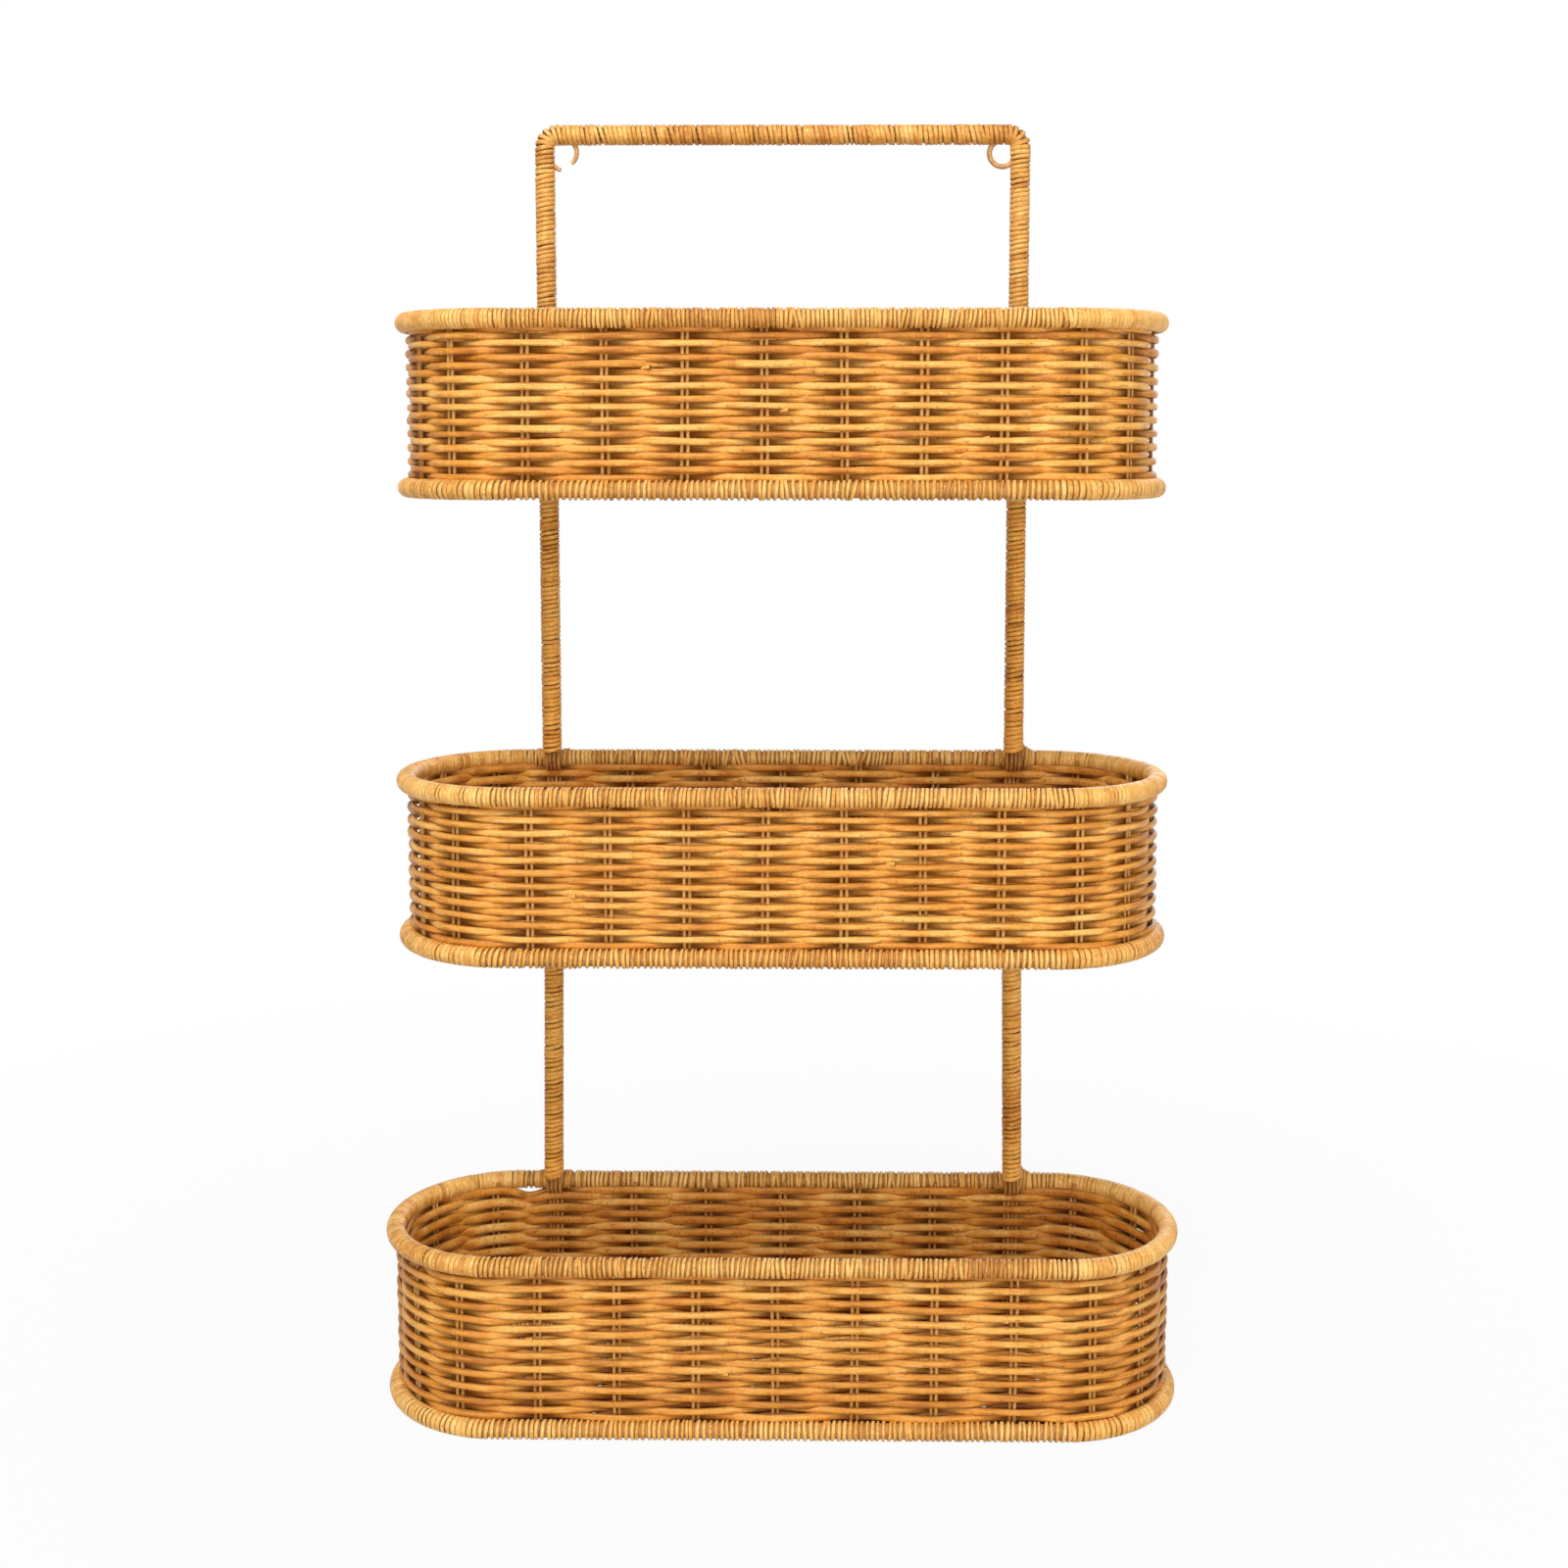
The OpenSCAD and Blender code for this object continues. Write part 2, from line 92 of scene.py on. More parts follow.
class Basket:
    """The measures of one basket, read from its hoops and bindings."""

    def __init__(self, name):
        self.name = name
        low, high = box_mm(f"{name}_top_hoop")
        hoop_r = (high[2] - low[2]) / 2
        self.top_z = (high[2] + low[2]) / 2
        self.rim_y = high[1] - hoop_r
        self.half = high[0] - hoop_r - self.rim_y
        low, high = box_mm(f"{name}_bottom_hoop")
        self.bottom_z = (high[2] + low[2]) / 2
        low, high = box_mm(f"{name}_top_binding")
        self.rim_r = (high[2] - low[2]) / 2
        self.wall_r = self.rim_y - WALL_INSET

    def girth(self, r):
        """Length round an oblong of end radius r."""
        return 4 * self.half + TURN * r

    def around(self, s, r):
        """Points and outward directions at lengths s along an oblong of end radius r.

        The lengths start at the middle of the front and run to the right.
        """
        end = math.pi * r
        side = 2 * self.half
        t = np.mod(s + self.half, self.girth(r))
        turned = (np.clip(t - side, 0, end) + np.clip(t - 2 * side - end, 0, end)) / r
        along = np.clip(t, 0, side) - np.clip(t - side - end, 0, side) - self.half
        outward = np.column_stack([np.sin(turned), -np.cos(turned)])
        return np.column_stack([along, 0 * along]) + r * outward, outward

    def stake_places(self):
        """Lengths along the wall line of all stake places, from the front's left pair round."""
        pitch, shift = FRONT_PITCH[self.name], FRONT_SHIFT[self.name]
        girth = self.girth(self.wall_r)
        fronts = [shift + (i - (FRONT_PAIRS - 1) / 2) * pitch for i in range(FRONT_PAIRS)]
        right_post = girth / 2 - POST_X
        left_post = girth - right_post
        last, first = fronts[-1], girth + fronts[0]
        ends = [last + share * (right_post - last) for share in END_SHARES]
        backs = [right_post + i * 2 * POST_X / BACK_SPACES for i in range(BACK_SPACES + 1)]
        returns = [first - share * (first - left_post) for share in reversed(END_SHARES)]
        return np.array(fronts + ends + backs + returns)


BASKETS = {name: Basket(name) for name in ("upper", "middle", "lower")}


def new_object(name, data):
    """A new object in the scene, with that mesh, lamp or camera."""
    made = bpy.data.objects.new(name, data)
    bpy.context.scene.collection.objects.link(made)
    return made


# Painted shade of a strand on a core, as lightness from 0 to 1: in its groove, more where turns lie close,
# and more towards its crest
GROOVE_SHADE = 0.26
CLEAR_SHADE = 0.6
CREST_SHADE = 1.1
# Painted shade of a strand in a wall, as lightness: on its flanks, at its crest, and how dark its hidden
# side gets
FLANK_SHADE = 0.4
FACE_SHADE = 0.6
HIDDEN_SHADE = 0.95
HIDDEN_CURVE = 1.5
# Depth in the wall at which a strand's hidden side gets its darkest painted shade
HIDDEN_DEPTH = 1.9


class Bundle:
    """Collects strands and makes one mesh of them."""

    def __init__(self):
        self.points, self.faces, self.fibre, self.shade = [], [], [], []
        self.count = 0

    def strand(self, path, normal, thick, width, sides=SIDES, closed=False, tone=0.5, depth=None,
               start=0.0, clear=0.0):
        """Sweeps an oval along a path. thick lies along the normals and width across them.

        depth is how far the path lies from the wall's middle: a side that faces away from the nearer
        face of the wall gets painted shade. Without depth the strand lies on a core, with painted shade in
        its grooves.
        """
        n = len(path)
        ahead = np.roll(path, -1, 0) - np.roll(path, 1, 0)
        if not closed:
            ahead[0], ahead[-1] = path[1] - path[0], path[-1] - path[-2]
        ahead = self.unit(ahead)
        normal = self.unit(normal - ahead * np.sum(normal * ahead, 1)[:, None])
        across = np.cross(ahead, normal)
        step = np.linalg.norm(np.diff(path, axis=0), axis=1)
        along = np.concatenate([[0], np.cumsum(step)]) + start
        angle = TURN * np.arange(sides) / sides
        c, s = np.cos(angle), np.sin(angle)
        thick = np.broadcast_to(thick, n)[:, None]
        width = np.broadcast_to(width, n)[:, None]
        ring = (path[:, None, :] + (thick * c)[:, :, None] * normal[:, None, :]
                + (width * s)[:, :, None] * across[:, None, :])
        self.points.append(ring.reshape(-1, 3))
        # Painted shade, kept in the shade attribute: it darkens the colour of grooves and hidden sides
        if depth is None:
            clear = np.broadcast_to(clear, n)[:, None]
            shade = np.clip(GROOVE_SHADE + CLEAR_SHADE * clear + CREST_SHADE * c, 0, 1)
        else:
            hidden = np.clip(-c * np.broadcast_to(depth, n)[:, None] / HIDDEN_DEPTH, 0, 1)
            shade = (FLANK_SHADE + FACE_SHADE * np.abs(c)) * (1 - HIDDEN_SHADE * hidden ** HIDDEN_CURVE)
        self.shade.append(shade.ravel())
        tone = np.broadcast_to(tone, n)
        self.fibre.append(np.column_stack([
            np.repeat(along, sides), np.tile(np.arange(sides) / sides, n), np.repeat(tone, sides)]))
        self.add_faces(n, sides, closed)

    @staticmethod
    def unit(vectors):
        """The vectors at length 1."""
        return vectors / (np.linalg.norm(vectors, axis=1)[:, None] + 1e-12)

    def add_faces(self, n, sides, closed):
        """The faces between n rings of points, and over the two ends of an open strand."""
        i = np.arange(n if closed else n - 1)[:, None] * sides
        j = (i + sides) % (n * sides)
        k = np.arange(sides)
        k2 = (k + 1) % sides
        quads = [np.stack([i + k, i + k2, j + k2, j + k], -1).reshape(-1, 4)]
        if not closed:
            cap = np.array([[m, m + 1, sides - 2 - m, sides - 1 - m] for m in range(sides // 2 - 1)])
            quads += [cap[:, ::-1], cap + (n - 1) * sides]
        self.faces.append(np.concatenate(quads) + self.count)
        self.count += n * sides

    def make(self, name, finish, nodes):
        """One object of all strands, riding on the part, that stands for the named CAD nodes."""
        mesh = bpy.data.meshes.new(name)
        points = np.concatenate(self.points) * MM
        points[:, 2] = np.maximum(points[:, 2], 0)
        mesh.from_pydata(points.tolist(), [], np.concatenate(self.faces).tolist(), shade_flat=False)
        mesh.validate()
        fibre = mesh.attributes.new("fibre", "FLOAT_VECTOR", "POINT")
        fibre.data.foreach_set("vector", np.concatenate(self.fibre).astype(np.float32).ravel())
        shade = mesh.attributes.new("shade", "FLOAT", "POINT")
        shade.data.foreach_set("value", np.concatenate(self.shade).astype(np.float32))
        mesh.materials.append(cane_finish(finish))
        piece = new_object(name, mesh)
        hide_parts(*nodes)
        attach(piece, "root")


def raised(plan, z=0):
    """Points or directions in space from those in plan, at height z."""
    return np.column_stack([plan, np.broadcast_to(z, len(plan))])


def ease(share):
    """A share from 0 to 1 with a soft start and end."""
    return share ** 2 * (3 - 2 * share)


def stray(rng, n, amount, spacing, closed=True):
    """n values that stray smoothly from zero. Their knots lie spacing values apart."""
    knots = max(4, int(round(n / spacing)))
    values = rng.normal(size=knots)
    at = np.arange(n) * knots / n
    low = np.floor(at).astype(int)
    f = ease(at - low)
    high = (low + 1) % knots if closed else np.minimum(low + 1, knots - 1)
    return amount * (values[low % knots] * (1 - f) + values[high] * f)


def runs_of(flags):
    """The unbroken runs of places where flags are true."""
    runs = np.split(np.arange(len(flags)), np.where(np.diff(flags.astype(int)) != 0)[0] + 1)
    return [run for run in runs if flags[run[0]]]


class Tree:
    """A material's or world's node tree under construction."""

    def __init__(self, owner):
        owner.use_nodes = True
        self.nodes, self.links = owner.node_tree.nodes, owner.node_tree.links
        self.nodes.clear()

    def node(self, kind, inputs=None, **settings):
        """A new node. inputs gives its sockets' values or what is linked to them."""
        made = self.nodes.new("ShaderNode" + kind)
        for key, value in settings.items():
            setattr(made, key, value)
        for socket, value in (inputs or {}).items():
            if isinstance(value, bpy.types.NodeSocket):
                self.links.new(value, made.inputs[socket])
            else:
                made.inputs[socket].default_value = value
        return made

    def maths(self, operation, a, b=0.0):
        return self.node("Math", {0: a, 1: b}, operation=operation).outputs[0]

    def times(self, a, b):
        return self.maths("MULTIPLY", a, b)

    def plus(self, a, b):
        return self.maths("ADD", a, b)

    def noise(self, vector, scale, detail, roughness=0.5):
        values = {"Vector": vector, "Scale": scale, "Detail": detail, "Roughness": roughness}
        return self.node("TexNoise", values).outputs["Fac"]

    def ramp(self, value, *stops):
        """Colours between stops, each a position and a colour."""
        made = self.node("ValToRGB", {0: value})
        elements = made.color_ramp.elements
        for element, (position, colour) in zip((elements[0], elements[1]), (stops[0], stops[-1])):
            element.position = position
            element.color = colour
        for position, colour in stops[1:-1]:
            elements.new(position).color = colour
        return made.outputs[0]

    def mix(self, factor, a, b, **settings):
        """A colour between a and b."""
        return self.node("Mix", {0: factor, 6: a, 7: b}, data_type="RGBA", **settings).outputs[2]

    def background_rays(self):
        """1 for the rays that show the background: seen, mirrored or let through."""
        path = self.node("LightPath")
        shown = path.outputs["Is Camera Ray"]
        for kind in ("Is Glossy Ray", "Is Transmission Ray"):
            shown = self.maths("MAXIMUM", shown, path.outputs[kind])
        return shown


# Peeled cane. Each noise has how much it is drawn out along the strand, its scale, detail and roughness
FIBRES = (0.09, 2.2, 3.0, 0.6)
MOTTLE = (0.11, 0.8, 3.0, 0.55)
SPOTS = (0.35, 1.7, 2.0, 0.7)
WARMTH = (0.05, 0.9, 2.0, 0.5)
# How finely fibres and spots are cut up round the strand
FIBRE_ROUND = 2.6
SPOT_ROUND = 0.9
# How much a strand's own tone and its mottling shift its colour
TONE_SPREAD = 0.75
MOTTLE_SPREAD = 1.5
TONE_SEED = 43.0
# Where the ramp from dark over main to light colour starts and ends
RAMP_ENDS = (0.05, 0.95)
# Warm stretches: from which noise value on, how strongly, and their tint
WARM_FROM = 0.4
WARM_GAIN = 3.2
WARM_TINT = (0.97, 0.8, 0.62, 1)
# Noise values between which a speck fades in
SPECK_EDGE = (0.585, 0.64)
# Colours of specks, and of the painted shade in recesses, as shares of the dark colour
SPECK_SHARES = (0.35, 0.28, 0.25)
PAINTED_SHADE_SHARES = (0.32, 0.24, 0.15)
SHEEN = 0.28
FIBRE_RISE = 0.25 * MM
# Solids carry no strand measures: the even painted shade they get, and how fast grain and tone change
PLAIN_SHADE = 0.7
PLAIN_GRAIN = 0.2
PLAIN_TONE_SCALE = 0.02
# Each finish: its colours in the settings, strength of fibres and specks, roughness and bump
FINISHES = {
    "woven_reed": ("reed", 0.55, 0.55, 0.4, 0.25),
    "wrapping_cane": ("wrap", 0.5, 0.6, 0.36, 0.2),
    "post_cane": ("post", 0.5, 0.6, 0.36, 0.2),
    "stake_reed": ("stick", 0.6, 0.5, 0.5, 0.3),
    "peeled_stick": ("stick", 0.8, 0.5, 0.6, 0.4),
    "eye_cane": ("eye", 0.5, 0.3, 0.45, 0.2),
}
PLAIN_FINISH = "peeled_stick"


def cane_finish(name):
    """Peeled cane with long fibres, mottling, dark specks, painted shade from the shade attribute and a
    soft gloss, made when first asked for.
    """
    material = bpy.data.materials.get(name + "_finish")
    if material:
        return material
    look = bpy.context.scene.wicker_colours
    stem, streak, speck, rough, bump = FINISHES[name]
    light, mid, dark = [(*getattr(look, stem + tail), 1) for tail in ("_light", "", "_dark")]
    material = bpy.data.materials.new(name + "_finish")
    tree = Tree(material)
    maths, times = tree.maths, tree.times
    if name == PLAIN_FINISH:
        place = tree.node("TexCoord").outputs["Object"]
        place = tree.node("VectorMath", {0: place, "Scale": 1 / MM}, operation="SCALE").outputs[0]
        across, _, along = tree.node("SeparateXYZ", {0: place}).outputs
        around = times(across, PLAIN_GRAIN)
        tone = tree.noise(place, PLAIN_TONE_SCALE, 2.0)
        # Solids get an even painted shade instead of the shade attribute
        shade, gloss = PLAIN_SHADE, SHEEN
    else:
        fibre = tree.node("Attribute", attribute_name="fibre").outputs["Vector"]
        along, around, tone = tree.node("SeparateXYZ", {0: fibre}).outputs
        shade = tree.node("Attribute", attribute_name="shade").outputs["Fac"]
        # Painted shade also dims the gloss in grooves and on hidden sides
        gloss = times(shade, SHEEN)
    angle = times(around, TURN)
    side_a, side_b = maths("COSINE", angle), maths("SINE", angle)
    seed = times(tone, TONE_SEED)

    def grain(measures, a, b):
        """Noise that is drawn out along the strand, and changes with a and b."""
        stretch, scale, detail, roughness = measures
        place = tree.node("CombineXYZ", {0: tree.plus(times(along, stretch), seed), 1: a, 2: b})
        return tree.noise(place.outputs[0], scale, detail, roughness)

    def spread(value, middle, gain):
        return times(maths("SUBTRACT", value, middle), gain)

    fibres = grain(FIBRES, times(side_a, FIBRE_ROUND), times(side_b, FIBRE_ROUND))
    mottle = grain(MOTTLE, side_a, seed)
    lightness = tree.plus(spread(tone, 0.5, TONE_SPREAD), spread(mottle, 0.5, MOTTLE_SPREAD))
    lightness = tree.plus(tree.plus(lightness, spread(fibres, 0.5, streak)), 0.5)
    main = tree.ramp(lightness, (RAMP_ENDS[0], dark), (0.5, mid), (RAMP_ENDS[1], light))
    warmth = spread(grain(WARMTH, seed, side_a), WARM_FROM, WARM_GAIN)
    warm = tree.mix(warmth, main, WARM_TINT, blend_type="MULTIPLY", clamp_factor=True)
    spots = grain(SPOTS, times(side_a, SPOT_ROUND), times(side_b, SPOT_ROUND))
    specks = tree.ramp(spots, (SPECK_EDGE[0], (0, 0, 0, 1)), (SPECK_EDGE[1], (speck, speck, speck, 1)))
    speck_dark, painted_shade_dark = [(*(part * share for part, share in zip(dark, shares)), 1)
                               for shares in (SPECK_SHARES, PAINTED_SHADE_SHARES)]
    specked = tree.mix(specks, warm, speck_dark)
    # Painted shade: where the shade attribute is low, the colour turns to the painted shade colour
    base = tree.mix(shade, painted_shade_dark, specked)
    rise = tree.node("Bump", {"Strength": bump, "Distance": FIBRE_RISE, "Height": fibres})
    shader = tree.node("BsdfPrincipled", {"Base Color": base, "Roughness": rough,
                                          "Specular IOR Level": gloss, "Normal": rise.outputs[0]})
    tree.node("OutputMaterial", {0: shader.outputs[0]})
    return material


# Points of a reed from one stake place to the next
WALL_STEPS = 11
# How far the rows reach up behind the top rim and down behind the bottom rim
ROW_END_RISE = 1.9
ROW_START_DROP = 0.7
# How far round a wall turns before it counts as back or front, and where it is plainly back
BACK_FADE = 0.5
FRONT_FADE = 0.5
BACK_FACING = 0.7
# Length over which a straight wall and a straight rim turn into a round end
WALL_END_FADE = 10
RIM_END_FADE = 12
# A reed is taller round the ends and where two rows cross, and a crossing lies nearer the front
END_CLOSENESS = 0.14
CROSSING_SWELL = 0.16
FORWARD = 0.3
# How far a reed sinks where it passes outside a stake, at the back and round the ends
SETTLE = {"upper": 0.1, "middle": 0.45, "lower": 0.85}
# Unevenness: how far a value strays, and how many points lie between its knots
SWAY = (0.3, 40)
OUT_WAVER = (0.12, 17)
THICKNESS_WAVER = (0.05, 25)
# The long and the fine waver of a row, each as a share of the setting, and the knots' spacing
WAVERS = ((1, 13), (0.4, 5))
THICKNESS_SPREAD = 0.04
REED_TONES = (0.15, 0.85)
# Rows waver less at the back, and in the last rows below the top rim
BACK_CALM = 0.55
CALM_ROWS = 3
# The top rows of the lower basket dip left of its left post
DIP_X = -141
DIP_WIDTH = 8
DIP_DEPTH = 3.4
DIP_ROW = 15
DIP_CURVE = 1.5
# Cut ends of reeds that show in the front: place along the front and row
REED_ENDS = {
    "upper": ((0, 9.4), (-66, 15.4), (96, 5.4)),
    "middle": ((52, 12.4), (-104, 7.4)),
    "lower": ((-30, 6.4), (110, 14.4), (-128, 11.4)),
}
REED_END_LENGTH = 4
REED_END_LIFT = 0.8
REED_END_POINTS = 6
REED_END_OUT = (0.2, 1.4)
REED_END_THICK = 0.7
REED_END_WIDE = 0.8
REED_END_TONE = 0.8


def wall_line(basket):
    """Lengths along the wall at which its reeds have points, and how many stake places lie before each."""
    places = basket.stake_places()
    following = np.append(places[1:], places[0] + basket.girth(basket.wall_r))
    share = np.arange(WALL_STEPS) / WALL_STEPS
    s = places[:, None] + share * (following - places)[:, None]
    phase = np.arange(len(places))[:, None] + share
    return s.ravel(), phase.ravel()


def weave_wall(basket, wall, rng):
    """The reeds of one wall: each row waves past the stakes in opposite step to its neighbours."""
    bundle = Bundle()
    low = basket.bottom_z + basket.rim_r - ROW_START_DROP
    high = basket.top_z - basket.rim_r + ROW_END_RISE
    pitch = (high - low) / wall.rows
    reach = wall.stake_thickness / 2 + wall.reed_thickness / 2 + wall.slack
    s, phase = wall_line(basket)
    n = len(s)
    at, outward = basket.around(s, basket.wall_r)
    facing = outward[:, 1]
    behind = np.clip(facing / BACK_FADE, 0, 1)
    rounded = np.clip((np.abs(at[:, 0]) - basket.half) / WALL_END_FADE, 0, 1)
    settle = SETTLE[basket.name] * facing * np.maximum(behind, rounded)
    close = wall.closeness + (wall.back_closeness - wall.closeness) * behind
    close = close + END_CLOSENESS * rounded * np.clip(facing + FRONT_FADE, 0, 1)
    tall = pitch * close / wall.reed_thickness
    # The third draw only keeps the order of the random numbers
    bow, slope, _ = [stray(rng, n, *SWAY) for _ in range(3)]
    dip = np.exp(-((at[:, 0] - DIP_X) / DIP_WIDTH) ** 2) * (facing > BACK_FACING)
    for row in range(wall.rows):
        wave = np.cos(math.pi * (phase + row))
        crossing = 1 - wave ** 2
        out = reach * (wave - FORWARD * crossing * facing) + stray(rng, n, *OUT_WAVER)
        share = row / (wall.rows - 1)
        drift = bow * 4 * share * (1 - share) + slope * math.sin(TURN * share)
        own = sum(stray(rng, n, share * wall.waver, spacing) for share, spacing in WAVERS)
        own = own * (1 - BACK_CALM * behind) * min(1, (wall.rows - row) / CALM_ROWS)
        z = low + (row + 0.5) * pitch + drift + own - settle * wave
        if basket.name == "lower":
            sunk = np.clip((row - DIP_ROW) / (wall.rows - 1 - DIP_ROW), 0, 1) ** DIP_CURVE
            z = z - DIP_DEPTH * dip * sunk
        path = raised(at + outward * out[:, None], z)
        size = wall.reed_thickness / 2 * (1 + THICKNESS_SPREAD * rng.normal())
        size = size * (1 + stray(rng, n, *THICKNESS_WAVER))
        tone = np.full(n, rng.uniform(*REED_TONES))
        joins = np.sort(rng.choice(n, 2, replace=False))
        tone[joins[0]:joins[1]] = rng.uniform(*REED_TONES)
        height = size * tall * (1 + CROSSING_SWELL * crossing)
        bundle.strand(path, raised(outward), size, height, REED_SIDES, closed=True, tone=tone, depth=out)
    for x, row in REED_ENDS[basket.name]:
        share = np.linspace(0, 1, REED_END_POINTS)
        at, outward = basket.around(x + REED_END_LENGTH * share, basket.wall_r)
        out = reach * np.linspace(*REED_END_OUT, REED_END_POINTS)
        z = low + (row + 0.5) * pitch + REED_END_LIFT * share
        path = raised(at + outward * out[:, None], z)
        half = wall.reed_thickness / 2
        bundle.strand(path, raised(outward), half * REED_END_THICK, half * REED_END_WIDE, REED_SIDES,
                      tone=REED_END_TONE, depth=reach)
    bundle.make(f"{basket.name}_reeds", "woven_reed", [f"{basket.name}_weave"])


# Stakes: points along one and its tip, inset from the rims' centre lines, lean, waver, tones and the depth
# that sets their painted shade
STAKE_POINTS = 9
STAKE_INSET = 2.6
STAKE_LEAN = 0.25
STAKE_WAVER = (0.12, 2)
STAKE_TONES = (0.2, 0.8)
STAKE_DEPTH = 0.6
# A stake's tip over the inside of the rim: where it leaves the wall, its angles, section, tone and how much
# its painted shade is lifted
TIP_START = 8.5
TIP_FROM = -75
TIP_TO = (0, 25)
TIP_GAP = 0.25
TIP_THICK = 0.9
TIP_WIDE = 1.1
TIP_TONE = 0.2
TIP_CLEAR = 0.4


def tuck_tip(bundle, basket, at, outward, size, rng):
    """A stake's tip that comes up over the inside of the top rim, at the wall side."""
    angle = np.radians(np.linspace(TIP_FROM, rng.uniform(*TIP_TO), STAKE_POINTS))
    r = basket.rim_r + TIP_GAP
    inward = WALL_INSET - r * np.cos(angle)
    path = raised(at + outward * inward[:, None], basket.top_z + r * np.sin(angle))
    path = np.vstack([[*at, basket.top_z - TIP_START], path])
    spoke = raised(-outward * np.cos(angle)[:, None], np.sin(angle))
    spoke = np.vstack([spoke[0], spoke])
    bundle.strand(path, spoke, size * TIP_THICK, size * TIP_WIDE, tone=TIP_TONE, clear=TIP_CLEAR)


def set_stakes(basket, wall, rng):
    """The upright pairs of one wall, from inside the bottom rim to inside the top rim."""
    bundle = Bundle()
    for k, place in enumerate(basket.stake_places()):
        if k in (RIGHT_POST_INDEX, LEFT_POST_INDEX):
            continue
        for side in (-1, 1):
            lean = rng.normal() * STAKE_LEAN
            z = np.linspace(basket.bottom_z + STAKE_INSET, basket.top_z - STAKE_INSET, STAKE_POINTS)
            s = place + side * wall.pair_spacing / 2 + np.linspace(-lean, lean, STAKE_POINTS)
            s = s + stray(rng, STAKE_POINTS, *STAKE_WAVER, closed=False)
            at, outward = basket.around(s, basket.wall_r)
            size = wall.stake_thickness / 2 * (1 + THICKNESS_SPREAD * rng.normal())
            tone = rng.uniform(*STAKE_TONES)
            bundle.strand(raised(at, z), raised(outward), size, size, tone=tone, depth=STAKE_DEPTH)
            if side < 0 and outward[-1, 1] > BACK_FACING:
                tuck_tip(bundle, basket, at[-1], outward[-1], size, rng)
    bundle.make(f"{basket.name}_stake_pairs", "stake_reed", [f"{basket.name}_stakes"])


# Length of rim that one turn of cane covers
RIM_PITCH = {
    ("upper", "top"): 2.12, ("upper", "bottom"): 2.9, ("middle", "top"): 2.25,
    ("middle", "bottom"): 2.8, ("lower", "top"): 2.45, ("lower", "bottom"): 2.8,
}
# How much paler than the main colour the cane is on each basket's rims, the hanger and the posts.
# On the rims this is partly the cane's own tone and partly painted light that grows on the lower baskets,
# which the lamps reach less. On the lower posts it is painted light where the baskets shade them.
RIM_TONE_AND_PAINTED_LIGHT = {"upper": 0.08, "middle": 0.15, "lower": 0.2}
HANGER_PALER = -0.02
POST_PAINTED_LIGHT = 0.06
# How close the turns lie on posts and bar, from 0 to 1
POST_CLOSE = 0.65
# Bow of the end turns, the length over which it fades, and the points of a turn
END_BOW = 0.8
BOW_FADE = 4
TURN_POINTS = 16
# Spread of a turn's lean along the bar, and the lean and rise of one that crosses a neighbour
LEAN_WAVER = (0.25, 6)
CROSSING_LEAN = (0.8, 1.3)
CROSSING_RISE = 0.25
RISE_SPREAD = 0.09
# Widest turn as a share of the pitch, then the turns' tones
WIDEST = 0.98
TURN_TONE_SPREAD = 0.2
TURN_TONE_WAVER = (0.14, 15)
TURN_PALEST = 1.1
# Close turns are calmer, flatter and wider, and get less painted shade in their grooves
CLOSE_CALM = 0.6
CLOSE_FLAT = 0.45
CLOSE_WIDE = 0.16


def wrap_turns(bundle, place, length, radius, pitch, cane, rng, closed, lean, close_at, hand=1,
               bows=(0, 0), paler=0.0):
    """Winds cane round a bar. place(s) gives points, outward and upward directions along it.

    lean(s) slants the turns at s and close_at(s) is 1 where they lie flat and close, hand winds them
    the other way, bows bends the turns at either end, and paler shifts the tone of them all, partly as
    painted light.
    """
    turns = max(2, int(round(length / pitch)))
    step = length / turns
    knots = turns + 1
    drift = rng.normal(size=knots) * cane.unevenness * step
    tilt = rng.normal(size=knots) * cane.tilt
    tilt = tilt + stray(rng, knots, *LEAN_WAVER, closed=False)
    crossing = rng.random(knots) < cane.crossings
    count = crossing.sum()
    tilt[crossing] += rng.choice([-1, 1], count) * rng.uniform(*CROSSING_LEAN, count)
    rise = rng.normal(size=knots) * RISE_SPREAD + CROSSING_RISE * crossing
    width = min(cane.width, WIDEST * step) / 2 * (1 - cane.unevenness * np.abs(rng.normal(size=knots)))
    # paler lifts the tone, partly as painted light
    tone = 0.5 + paler + TURN_TONE_SPREAD * rng.normal(size=knots)
    tone = np.clip(tone + stray(rng, knots, *TURN_TONE_WAVER, closed=False), 0, TURN_PALEST)
    rows = np.array([drift, tilt, rise, width, tone])
    if closed:
        rows[:, -1] = rows[:, 0]
    t = np.arange(turns * TURN_POINTS + (0 if closed else 1)) / TURN_POINTS
    drift, tilt, rise, width, tone = [np.interp(t, np.arange(knots), row) for row in rows]
    angle = math.pi + TURN * t * hand
    s = t * step
    bow = bows[0] * np.exp(-s / BOW_FADE) - bows[1] * np.exp((s - length) / BOW_FADE)
    close = close_at(s)
    calm = 1 - CLOSE_CALM * close
    s = (s + calm * (drift + tilt * np.sin(angle)) + hand * lean(s) * np.sin(angle)
         + bow * (1 - np.cos(angle)))
    if not closed:
        s = np.clip(s, 0, length)
    centre, outward, upward = place(s)
    spoke = outward * np.cos(angle)[:, None] + upward * np.sin(angle)[:, None]
    thick = cane.thickness / 2 * (1 - CLOSE_FLAT * close)
    path = centre + spoke * (radius - thick + rise * calm)[:, None]
    wide = np.minimum(width, step * cane.cover / 2) + CLOSE_WIDE * step * close
    # Close turns get less painted shade in their grooves
    bundle.strand(path, spoke, thick, wide, closed=closed, tone=tone, clear=close ** 3)


